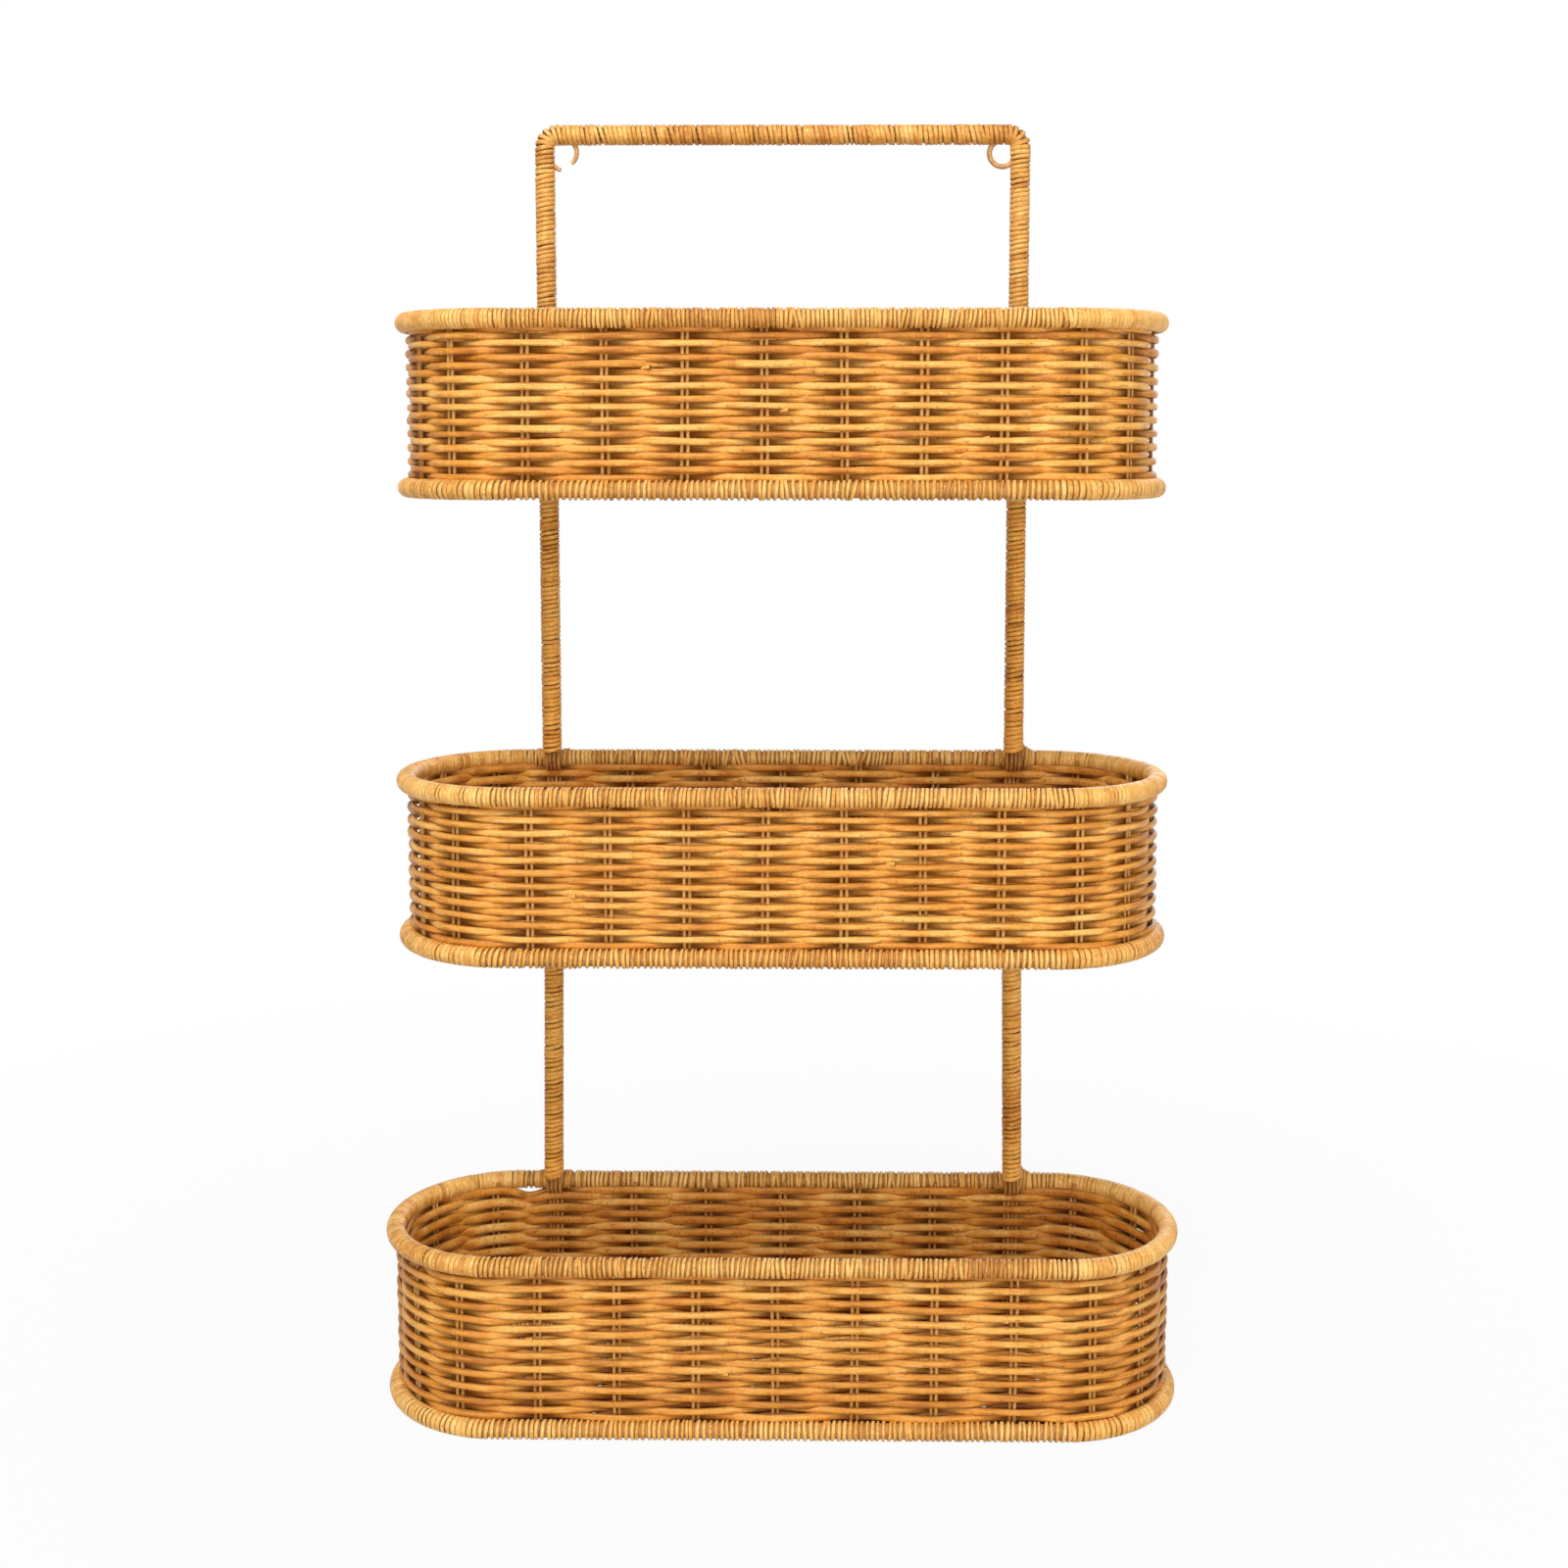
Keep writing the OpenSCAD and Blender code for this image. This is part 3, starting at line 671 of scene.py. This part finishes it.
def wrap_rim(basket, edge, cane, rng):
    """The cane wound round one rim."""
    bundle = Bundle()
    z = basket.top_z if edge == "top" else basket.bottom_z

    def place(s):
        at, outward = basket.around(s, basket.rim_y)
        return raised(at, z), raised(outward), UP

    def close_at(s):
        """The turns lie close round the ends."""
        at, _ = basket.around(s, basket.rim_y)
        return np.clip((np.abs(at[:, 0]) - basket.half) / RIM_END_FADE, 0, 1)

    def lean(s):
        """Stands the turns upright on the side that faces the front."""
        return cane.upright * basket.around(s, basket.rim_y)[1][:, 1]

    name = basket.name
    wrap_turns(bundle, place, basket.girth(basket.rim_y), basket.rim_r, RIM_PITCH[(name, edge)], cane, rng,
               True, lean, close_at, paler=RIM_TONE_AND_PAINTED_LIGHT[name])
    bundle.make(f"{name}_{edge}_wrapping", "wrapping_cane", [f"{name}_{edge}_binding"])


# Radius of the sticks' bend at the hanger's corners, and how far the lower posts splay
CORNER_R = 6.2
POST_SPLAY = 1.9
SPLAY_DROP = BASKETS["middle"].bottom_z - BASKETS["lower"].top_z
# From the low end of the posts' bindings up to their first turn
WRAP_LIFT = 8.3


def hanger_length(low):
    """Length of the hanger's line from height low on the left post to the same height on the right."""
    return 2 * (BAR_Z - CORNER_R - low) + math.pi * CORNER_R + 2 * (POST_X - CORNER_R)


def hanger_line(s, low):
    """Points, outward and upward directions along the hanger, from the left post's low end over the bar."""
    rise = BAR_Z - CORNER_R - low
    bar = 2 * (POST_X - CORNER_R)
    bend = math.pi / 2 * CORNER_R
    turned = (np.clip(s - rise, 0, bend) + np.clip(s - rise - bend - bar, 0, bend)) / CORNER_R
    upward = np.column_stack([-np.cos(turned), 0 * turned, np.sin(turned)])
    x = np.clip(s - rise - bend, 0, bar) - bar / 2
    z = low + np.clip(s, 0, rise) - np.clip(s - rise - 2 * bend - bar, 0, None)
    centre = np.column_stack([x, np.full(len(s), POST_Y), z]) + CORNER_R * upward
    return centre, FRONT, upward


def post_x(z):
    """How far the posts stand from the middle at height z: they splay a little below the middle basket."""
    return POST_X + POST_SPLAY * np.clip((BASKETS["middle"].bottom_z - z) / SPLAY_DROP, 0, 1)


def wrap_hanger(cane, rng):
    """The cane wound over both posts and the bar above the upper basket."""
    bundle = Bundle()
    low = HANGER_LOW[2]
    wrap_turns(bundle, lambda s: hanger_line(s, low), hanger_length(low), POST_R, cane.post_pitch, cane,
               rng, False, lambda s: cane.slant, lambda s: POST_CLOSE, -1, (END_BOW, END_BOW), HANGER_PALER)
    bundle.make("hanger_wrapping", "wrapping_cane", ["hanger_binding"])


def wrap_posts(tier, cane, rng):
    """The cane wound round both posts between two baskets."""
    bundle = Bundle()
    node = f"{tier}_post_bindings"
    low, high = box_mm(node)
    start = low[2] + WRAP_LIFT
    for side in (-1, 1):
        def place(s, side=side):
            z = start + s
            return np.column_stack([side * post_x(z), np.full(len(s), POST_Y), z]), FRONT, RIGHT
        wrap_turns(bundle, place, high[2] - start, POST_R, cane.post_pitch, cane, rng, False,
                   lambda s: cane.slant, lambda s: POST_CLOSE, bows=(END_BOW, 0), paler=POST_PAINTED_LIGHT)
    bundle.make(f"{tier}_post_wrapping", "post_cane", [node])


# Frame sticks: distance of points, wobble, tones, and the depths that set the painted shade of the long and
# the packing sticks
STICK_STEP = 1.5
STICK_WOBBLE = (0.1, 20)
STICK_TONES = (0.3, 0.7)
STICK_DEPTH = 0.4
PACKING_DEPTH = -1
# Packing lies where the sticks are less than this share of the way into the wall, for so many points
BOUND_SHARE = 0.02
PACKING_POINTS = 4


def share_in_wall(z, sticks, rows):
    """How far into the wall the frame's sticks are at height z, from 0 to 1."""
    inside = np.zeros(len(z))
    for basket in BASKETS.values():
        row = (basket.top_z - basket.bottom_z - 2 * basket.rim_r) / rows
        into = np.clip((basket.top_z - sticks.bend_drop - row - z) / sticks.bend + 0.5, 0, 1)
        out = np.clip((basket.bottom_z + sticks.bend_rise - z) / sticks.bend + 0.5, 0, 1)
        if basket.name == "lower":
            out = 0 * out
        inside = np.maximum(inside, ease(into) * (1 - ease(out)))
    return inside


def bundle_frame(sticks, rows, rng):
    """The sticks of the frame: side by side up each post and over the bar, bent back into each wall."""
    bundle = Bundle()
    half = sticks.thickness / 2
    spread = [sticks.spacing * (i - (sticks.across - 1) / 2) for i in range(sticks.across)]
    foot = BASKETS["lower"].bottom_z + BASKETS["lower"].rim_r
    s = np.arange(0, hanger_length(foot), STICK_STEP)
    centre, _, upward = hanger_line(s, foot)
    z = centre[:, 2]
    inside = share_in_wall(z, sticks, rows)
    centre[:, 1] = POST_Y + (BASKETS["lower"].wall_r - POST_Y) * inside
    centre[:, 0] = np.sign(centre[:, 0]) * (np.abs(centre[:, 0]) + post_x(z) - POST_X)
    for out in spread:
        wobble = stray(rng, len(s), *STICK_WOBBLE, closed=False)
        path = centre + upward * (out + wobble[:, None])
        bundle.strand(path, FRONT, half, half, tone=rng.uniform(*STICK_TONES), depth=STICK_DEPTH)
    for run in runs_of(inside < BOUND_SHARE):
        if len(run) < PACKING_POINTS:
            continue
        for out in spread[1:-1]:
            for side in (-1, 1):
                path = centre[run] + upward[run] * out - FRONT * side * sticks.spacing
                bundle.strand(path, FRONT, half, half, depth=PACKING_DEPTH)
    bundle.make("frame_stick_bundle", "stake_reed", ["frame_sticks", "frame_packing"])


# Lashings: points of a turn, the first turn's gap from the post, and the turns' pitch
LASHING_POINTS = 24
LASHING_GAP = 0.7
LASHING_PITCH = 1.85
LASHING_TURNS = 2
# How high the turns of a humped lashing stand, and the rest
HUMPS = (3.5, 1.6, 0.5)
FLAT_LIFT = 0.2
HUMP_CURVE = 5
# How far the first turn and the others slip towards the post below the rim
FIRST_SLIP = 1.9
SLIP = 1.1
# How deep the turns lie in the rim's wrapping and stop short of its wall side, their section and spread
LASHING_SINK = 0.5
LASHING_BACK = 0.9
LASHING_THICK = 0.8
LASHING_WIDE = 1.05
LASHING_SPREAD = 0.15


def tie_lashings(basket, rng):
    """The cane that ties both posts to one top rim: turns round the rim close beside each post."""
    bundle = Bundle()
    angle = TURN * np.arange(LASHING_POINTS) / LASHING_POINTS
    up = (1 + np.sin(angle)) / 2
    spoke = np.column_stack([0 * angle, -np.cos(angle), np.sin(angle)])
    for side in (-1, 1):
        for way in (-1, 1):
            humped = way > 0 and side > 0 and basket.name != "upper"
            for k, lift in enumerate(HUMPS if humped else [FLAT_LIFT] * LASHING_TURNS):
                near = POST_R + LASHING_GAP + LASHING_PITCH * k
                slip = FIRST_SLIP if k == 0 else SLIP
                r = basket.rim_r - LASHING_SINK + lift * up ** HUMP_CURVE
                x = near - slip * (1 - up) + LASHING_SPREAD * rng.normal()
                x = side * post_x(basket.top_z) + way * x
                y = np.minimum(basket.rim_y - r * np.cos(angle), basket.rim_y + basket.rim_r - LASHING_BACK)
                path = np.column_stack([x, y, basket.top_z + r * np.sin(angle)])
                tone = 0.5 + LASHING_SPREAD * rng.normal()
                bundle.strand(path, spoke, LASHING_THICK, LASHING_WIDE, closed=True, tone=tone)
    bundle.make(f"{basket.name}_lashing_cane", "wrapping_cane", [f"{basket.name}_lashings"])


# Hanging eyes: radius, and how far the middle lies in from the post and down from the bar
EYE_R = 6.8
EYE_IN = 9.4
EYE_DOWN = 9.6
EYE_POINTS = 40
EYE_TONES = (0.4, 0.7)
EYE_THICK = 1.4
# Arcs of each eye: first and last angle, first and last radius. The left one is cut open
EYE_ARCS = {
    "right": ((90, 360, EYE_R, EYE_R),),
    "left": ((90, -48, 8.3, 6.6), (176, 262, EYE_R, 8.4)),
}
EYE_END_THICK = {"right": 1.4, "left": 1.15}


def bend_eye(hand):
    """One hanging eye: a loop of core cane, whole on the right, cut open on the left."""
    bundle = Bundle()
    side = 1 if hand == "right" else -1
    middle = np.array([side * (POST_X - EYE_IN), POST_Y, BAR_Z - EYE_DOWN])
    thick = np.linspace(EYE_THICK, EYE_END_THICK[hand], EYE_POINTS)
    for start, stop, first_r, last_r in EYE_ARCS[hand]:
        angle = np.radians(np.linspace(start, stop, EYE_POINTS))
        r = np.linspace(first_r, last_r, EYE_POINTS)
        path = middle + r[:, None] * np.column_stack([np.cos(angle), 0 * angle, np.sin(angle)])
        tone = np.linspace(*EYE_TONES, EYE_POINTS)
        bundle.strand(path, FRONT, thick, thick, EYE_SIDES, tone=tone)
    bundle.make(f"{hand}_hanging_eye", "eye_cane", [f"{hand}_eye"])


# Reeds in a band of the floor, distance of their points, and their gap from the rim's inside
BAND_REEDS = 4
FLOOR_STEP = 4
FLOOR_GAP = 0.1
# A floor reed is wider over the sticks and slimmer between them
FLOOR_SWELL = 0.25
FLOOR_RISE_WAVER = (0.08, 6)
FLOOR_SIDE_WAVER = (0.12, 8)
# The upper floors leave room for the posts behind them
POST_ROOM_Y = 3
POST_ROOM_X = 5.4


def weave_floor(basket, mat, rng):
    """The floor: bands of reeds that pass over and under the floor's sticks."""
    bundle = Bundle()
    low, high = box_mm(f"{basket.name}_floor_sticks")
    reach = (high[2] - low[2]) / 2 + mat.reed_thickness / 2
    inner = basket.rim_y - basket.rim_r - FLOOR_GAP
    pitch = mat.band_width / BAND_REEDS
    count = mat.bands * BAND_REEDS
    for k in range(count):
        y = (k - (count - 1) / 2) * pitch
        half = basket.half + math.sqrt(max(0.0, inner ** 2 - (abs(y) + pitch / 2) ** 2))
        n = int(half * 2 / FLOOR_STEP)
        x = np.linspace(-half, half, n)
        wave = np.cos(math.pi * (x / mat.stick_spacing + k))
        wide = pitch / 2 * mat.closeness * (1 + FLOOR_SWELL * (2 * wave ** 2 - 1))
        z = basket.bottom_z + reach * wave + stray(rng, n, *FLOOR_RISE_WAVER, closed=False)
        path = np.column_stack([x, y + stray(rng, n, *FLOOR_SIDE_WAVER, closed=False), z])
        runs = [np.arange(n)]
        if basket.name != "lower" and y > POST_Y - POST_ROOM_Y:
            runs = [run for run in runs_of(np.abs(np.abs(x) - POST_X) > POST_ROOM_X) if len(run) > 2]
        tone = rng.uniform(*STAKE_TONES)
        for run in runs:
            bundle.strand(path[run], UP, mat.reed_thickness / 2, wide[run], tone=tone, start=x[run[0]])
    bundle.make(f"{basket.name}_floor_reeds", "woven_reed", [f"{basket.name}_floor_weave"])


# Stage, in metres: the floor's half width and grey, and how its glow grows away from the middle
FLOOR_HALF = 3.0
FLOOR_GREY = (0.6, 0.6, 0.6, 1)
GLOW_FROM = 0.3
GLOW_TO = 0.9
GLOW_NEAR = 0.94
WHITE = (1, 1, 1, 1)
# Each lamp: where it stands, the height it looks at, and its size
LAMPS = {
    "key": ((-0.45, -1.15, 1.9), 0.3, 0.9),
    "side": ((1.2, -1.0, 0.6), 0.3, 0.9),
    "low": ((-0.2, -1.7, 0.3), 0.2, 0.9),
    "back": ((0.5, 1.5, 0.9), 0.3, 1.2),
}
# Camera: its place in metres, angles down and to the left in degrees, shift and sensor width in mm
CAMERA_PLACE = (0.0126, -1.0337, 0.5042)
CAMERA_DOWN = 5.968
CAMERA_TURN = 0.625
CAMERA_SHIFT = -0.09
SENSOR = 36


def light_room(fill):
    """An even pale light from all round, and white where the background shows."""
    world = bpy.data.worlds.new("studio")
    bpy.context.scene.world = world
    tree = Tree(world)
    room = tree.node("Background", {"Color": WHITE, "Strength": fill})
    seen = tree.node("Background", {"Color": WHITE, "Strength": 1.0})
    mix = tree.node("MixShader", {0: tree.background_rays(), 1: room.outputs[0], 2: seen.outputs[0]})
    tree.node("OutputWorld", {0: mix.outputs[0]})


def lay_floor():
    """A pale floor that keeps the basket's shadow and fades into the white further out."""
    mesh = bpy.data.meshes.new("floor")
    corners = [(x * FLOOR_HALF, y * FLOOR_HALF, 0) for x, y in ((-1, -1), (1, -1), (1, 1), (-1, 1))]
    mesh.from_pydata(corners, [], [(0, 1, 2, 3)])
    floor = new_object("floor", mesh)
    material = bpy.data.materials.new("pale_floor")
    tree = Tree(material)
    surface = tree.node("BsdfDiffuse", {"Color": FLOOR_GREY})
    glow = tree.node("Emission", {"Color": WHITE, "Strength": 1.0})
    place = tree.node("TexCoord").outputs["Object"]
    away = tree.node("VectorMath", {0: place}, operation="LENGTH").outputs["Value"]
    share = tree.node("MapRange", {"Value": away, "From Min": GLOW_FROM, "From Max": GLOW_TO,
                                   "To Min": GLOW_NEAR}).outputs[0]
    shown = tree.times(share, tree.background_rays())
    mix = tree.node("MixShader", {0: shown, 1: surface.outputs[0], 2: glow.outputs[0]})
    tree.node("OutputMaterial", {0: mix.outputs[0]})
    mesh.materials.append(material)


def hang_lamp(name, power):
    """One square lamp that looks at the middle of the basket."""
    place, height, size = LAMPS[name]
    data = bpy.data.lights.new(name, "AREA")
    data.size = size
    data.energy = power
    lamp = new_object(name, data)
    lamp.location = place
    lamp.rotation_euler = (Vector((0, 0, height)) - Vector(place)).to_track_quat("-Z", "Y").to_euler()


def set_camera(lens):
    """The camera in front, at the height of the middle basket's mouth and slightly down."""
    data = bpy.data.cameras.new("camera")
    camera = new_object("camera", data)
    camera.location = CAMERA_PLACE
    camera.rotation_euler = Euler((math.radians(90 - CAMERA_DOWN), 0, math.radians(CAMERA_TURN)))
    data.lens = lens
    data.sensor_width = SENSOR
    data.shift_y = CAMERA_SHIFT
    bpy.context.scene.camera = camera


def length(name, text, value, low, high):
    """A setting for a length in millimetres."""
    return FloatProperty(name=name, description=text + " in mm", default=value, min=low, max=high)


def factor(name, text, value, low, high):
    """A setting for a share."""
    return FloatProperty(name=name, description=text, default=value, min=low, max=high, subtype="FACTOR")


def watts(name, text, value):
    """A setting for a lamp's power."""
    return FloatProperty(name=name, description=f"Power of the lamp {text} in watts", default=value,
                         min=0, max=500, unit="POWER")


def colour(name, text, value):
    """A setting for a colour."""
    return FloatVectorProperty(name=name, description="Colour of " + text, default=value,
                               subtype="COLOR", size=3, min=0, max=1)


class WickerWall(bpy.types.PropertyGroup):
    """Sizes of the woven walls, in millimetres."""
    rows: IntProperty(name="Rows", description="Rows of weaving in each wall", default=22, min=8, max=30)
    reed_thickness: length("Reed", "Thickness of a weaving reed", 2.6, 1, 5)
    stake_thickness: length("Stake", "Thickness of a stake", 1.9, 1, 3)
    pair_spacing: length("Pair", "Distance between the stakes of a pair", 2.7, 2, 5)
    closeness: factor("Closeness", "Height of a reed as a share of the rows' pitch", 1.02, 0.8, 1.3)
    back_closeness: factor("Back closeness", "The same for the wall side", 1.25, 0.8, 1.4)
    waver: length("Waver", "Spread of a reed's height along its way", 0.28, 0, 1)
    slack: length("Slack", "Extra reach of a reed past a stake", -0.2, -1, 1)


class WickerSticks(bpy.types.PropertyGroup):
    """Sizes of the frame's sticks, in millimetres."""
    across: IntProperty(name="Across", description="Sticks side by side in a post", default=4, min=2, max=6)
    thickness: length("Thickness", "Thickness of a stick", 1.9, 1, 3)
    spacing: length("Spacing", "Distance between two sticks", 2.15, 1, 4)
    bend: length("Bend", "Height of a bend into or out of a wall", 5.6, 3, 20)
    bend_drop: length("Bend drop", "Depth of a bend below a top rim", 1.2, 0, 20)
    bend_rise: length("Bend rise", "Height of a bend above a bottom rim", 3.25, 0, 20)


class WickerCane(bpy.types.PropertyGroup):
    """Sizes of the cane wound round rims and posts, in millimetres."""
    width: length("Width", "Width of the wrapping cane", 2.3, 1, 4)
    thickness: length("Thickness", "Thickness of the wrapping cane", 1.45, 0.4, 2)
    unevenness: factor("Unevenness", "Spread of a turn's place, as a share of its pitch", 0.19, 0, 0.5)
    post_pitch: length("Post pitch", "Length of post that one turn covers", 2.45, 1.5, 5)
    slant: length("Slant", "Extra slant of the turns on the posts", 0.35, -2, 2)
    upright: length("Upright", "How much the turns on the rims are set upright", 0.32, 0, 1)
    cover: factor("Cover", "Share of a turn's pitch that the cane covers", 1.0, 0.5, 1.2)
    tilt: length("Tilt", "Spread of a turn's lean", 0.28, 0, 1)
    crossings: factor("Crossings", "Share of turns that cross a neighbour", 0.05, 0, 0.5)


class WickerMat(bpy.types.PropertyGroup):
    """Sizes of the woven floors, in millimetres."""
    bands: IntProperty(name="Bands", description="Bands of reeds across a floor", default=9, min=3, max=15)
    band_width: length("Band width", "Width of one band", 12.2, 6, 20)
    reed_thickness: length("Thickness", "Thickness of a floor reed", 2.1, 1, 4)
    closeness: factor("Closeness", "Width of a floor reed as a share of the pitch", 1.3, 0.8, 1.5)
    stick_spacing: length("Stick spacing", "Distance between two floor sticks", 40, 10, 80)


class WickerColours(bpy.types.PropertyGroup):
    """Lightest, main and darkest colour of each kind of cane and reed."""
    reed_light: colour("Reed, light", "the woven reeds", (0.95, 0.56, 0.15))
    reed: colour("Reed", "the woven reeds", (0.74, 0.32, 0.045))
    reed_dark: colour("Reed, dark", "the woven reeds", (0.44, 0.15, 0.014))
    wrap_light: colour("Wrapping, light", "the wrapping cane", (0.92, 0.585, 0.19))
    wrap: colour("Wrapping", "the wrapping cane", (0.76, 0.395, 0.085))
    wrap_dark: colour("Wrapping, dark", "the wrapping cane", (0.48, 0.18, 0.03))
    post_light: colour("Post, light", "the cane round the lower posts", (0.95, 0.56, 0.14))
    post: colour("Post", "the cane round the lower posts", (0.82, 0.385, 0.06))
    post_dark: colour("Post, dark", "the cane round the lower posts", (0.5, 0.18, 0.02))
    stick_light: colour("Stick, light", "stakes and sticks", (0.86, 0.5, 0.17))
    stick: colour("Stick", "stakes and sticks", (0.68, 0.34, 0.09))
    stick_dark: colour("Stick, dark", "stakes and sticks", (0.4, 0.16, 0.03))
    eye_light: colour("Eye, light", "the hanging eyes", (0.72, 0.46, 0.2))
    eye: colour("Eye", "the hanging eyes", (0.52, 0.29, 0.1))
    eye_dark: colour("Eye, dark", "the hanging eyes", (0.28, 0.12, 0.05))


class WickerStage(bpy.types.PropertyGroup):
    """Camera and light."""
    lens: FloatProperty(name="Lens", description="Focal length in mm", default=46.64, min=20, max=120)
    key: watts("Key light", "above at the left", 34)
    side: watts("Side light", "at the right", 8)
    low: watts("Low light", "low in front", 13)
    back: watts("Back light", "behind", 11)
    fill: FloatProperty(name="Room light", description="Strength of the even light from all round",
                        default=0.16, min=0, max=3)


def seeded_baskets(seed):
    """Each basket with random numbers of its own."""
    return [(basket, default_rng(seed + i)) for i, basket in enumerate(BASKETS.values())]


class MakeStage(bpy.types.Operator):
    """Set the floor, the lights and the camera"""
    bl_idname = "wicker.make_stage"
    bl_label = "Set stage"

    def execute(self, context):
        settings = context.scene.wicker_stage
        context.scene.view_settings.view_transform = "Standard"
        light_room(settings.fill)
        lay_floor()
        for name in LAMPS:
            hang_lamp(name, getattr(settings, name))
        set_camera(settings.lens)
        return {"FINISHED"}


class MakeWalls(bpy.types.Operator):
    """Weave the reeds of every basket's wall"""
    bl_idname = "wicker.make_walls"
    bl_label = "Weave walls"

    def execute(self, context):
        for basket, rng in seeded_baskets(100):
            weave_wall(basket, context.scene.wicker_wall, rng)
        return {"FINISHED"}


class MakeStakes(bpy.types.Operator):
    """Set the upright pairs of every basket"""
    bl_idname = "wicker.make_stakes"
    bl_label = "Set stakes"

    def execute(self, context):
        for basket, rng in seeded_baskets(200):
            set_stakes(basket, context.scene.wicker_wall, rng)
        return {"FINISHED"}


class MakeRims(bpy.types.Operator):
    """Wind the cane round every rim"""
    bl_idname = "wicker.make_rims"
    bl_label = "Wrap rims"

    def execute(self, context):
        for i, basket in enumerate(BASKETS.values()):
            for j, edge in enumerate(("top", "bottom")):
                wrap_rim(basket, edge, context.scene.wicker_cane, default_rng(300 + 10 * i + j))
        return {"FINISHED"}


class MakeSticks(bpy.types.Operator):
    """Lay the frame's sticks from the lowest rim over the bar"""
    bl_idname = "wicker.make_sticks"
    bl_label = "Lay frame sticks"

    def execute(self, context):
        rows = context.scene.wicker_wall.rows
        bundle_frame(context.scene.wicker_sticks, rows, default_rng(420))
        return {"FINISHED"}


class MakePosts(bpy.types.Operator):
    """Wind the cane round the hanger and the posts"""
    bl_idname = "wicker.make_posts"
    bl_label = "Wrap posts"

    def execute(self, context):
        cane = context.scene.wicker_cane
        wrap_hanger(cane, default_rng(400))
        wrap_posts("middle", cane, default_rng(401))
        wrap_posts("lower", cane, default_rng(402))
        return {"FINISHED"}


class MakeLashings(bpy.types.Operator):
    """Tie the posts to the top rims"""
    bl_idname = "wicker.make_lashings"
    bl_label = "Tie lashings"

    def execute(self, context):
        for basket, rng in seeded_baskets(410):
            tie_lashings(basket, rng)
        return {"FINISHED"}


class MakeEyes(bpy.types.Operator):
    """Bend the hanging eyes"""
    bl_idname = "wicker.make_eyes"
    bl_label = "Bend eyes"

    def execute(self, context):
        for hand in ("left", "right"):
            bend_eye(hand)
        return {"FINISHED"}


class MakeFloors(bpy.types.Operator):
    """Weave every basket's floor"""
    bl_idname = "wicker.make_floors"
    bl_label = "Weave floors"

    def execute(self, context):
        for basket, rng in seeded_baskets(600):
            weave_floor(basket, context.scene.wicker_mat, rng)
        return {"FINISHED"}


class FinishSticks(bpy.types.Operator):
    """Give the frame's sticks, the hoops and the floor sticks their finish"""
    bl_idname = "wicker.finish_sticks"
    bl_label = "Finish sticks"

    def execute(self, context):
        material = cane_finish(PLAIN_FINISH)
        for name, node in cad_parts.items():
            if name.endswith(("_hoop", "_sticks", "_packing")):
                for slot in node.material_slots:
                    slot.material = material
        return {"FINISHED"}


MAKERS = (MakeStage, MakeWalls, MakeStakes, MakeRims, MakeSticks, MakePosts, MakeLashings, MakeEyes,
          MakeFloors, FinishSticks)
GROUPS = {"wicker_wall": WickerWall, "wicker_sticks": WickerSticks, "wicker_cane": WickerCane,
          "wicker_mat": WickerMat, "wicker_colours": WickerColours, "wicker_stage": WickerStage}


class WickerPanel(bpy.types.Panel):
    """Sizes, colours and makers of the wicker wall basket"""
    bl_idname = "VIEW3D_PT_wicker"
    bl_label = "Wicker wall basket"
    bl_space_type = "VIEW_3D"
    bl_region_type = "UI"
    bl_category = "Wicker"

    def draw(self, context):
        for group in GROUPS:
            settings = getattr(context.scene, group)
            column = self.layout.column(align=True)
            for name in settings.bl_rna.properties.keys():
                if name not in ("rna_type", "name"):
                    column.prop(settings, name)
        for maker in MAKERS:
            self.layout.operator(maker.bl_idname)


def register():
    for name, group in GROUPS.items():
        bpy.utils.register_class(group)
        setattr(bpy.types.Scene, name, PointerProperty(type=group))
    for thing in (*MAKERS, WickerPanel):
        bpy.utils.register_class(thing)


def unregister():
    for thing in (WickerPanel, *reversed(MAKERS)):
        bpy.utils.unregister_class(thing)
    for name, group in reversed(GROUPS.items()):
        delattr(bpy.types.Scene, name)
        bpy.utils.unregister_class(group)


def main():
    register()
    bpy.ops.wicker.make_stage()
    bpy.ops.wicker.make_walls()
    bpy.ops.wicker.make_stakes()
    bpy.ops.wicker.make_rims()
    bpy.ops.wicker.make_sticks()
    bpy.ops.wicker.make_posts()
    bpy.ops.wicker.make_lashings()
    bpy.ops.wicker.make_eyes()
    bpy.ops.wicker.make_floors()
    bpy.ops.wicker.finish_sticks()
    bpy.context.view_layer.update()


if __name__ == "__main__":
    main()
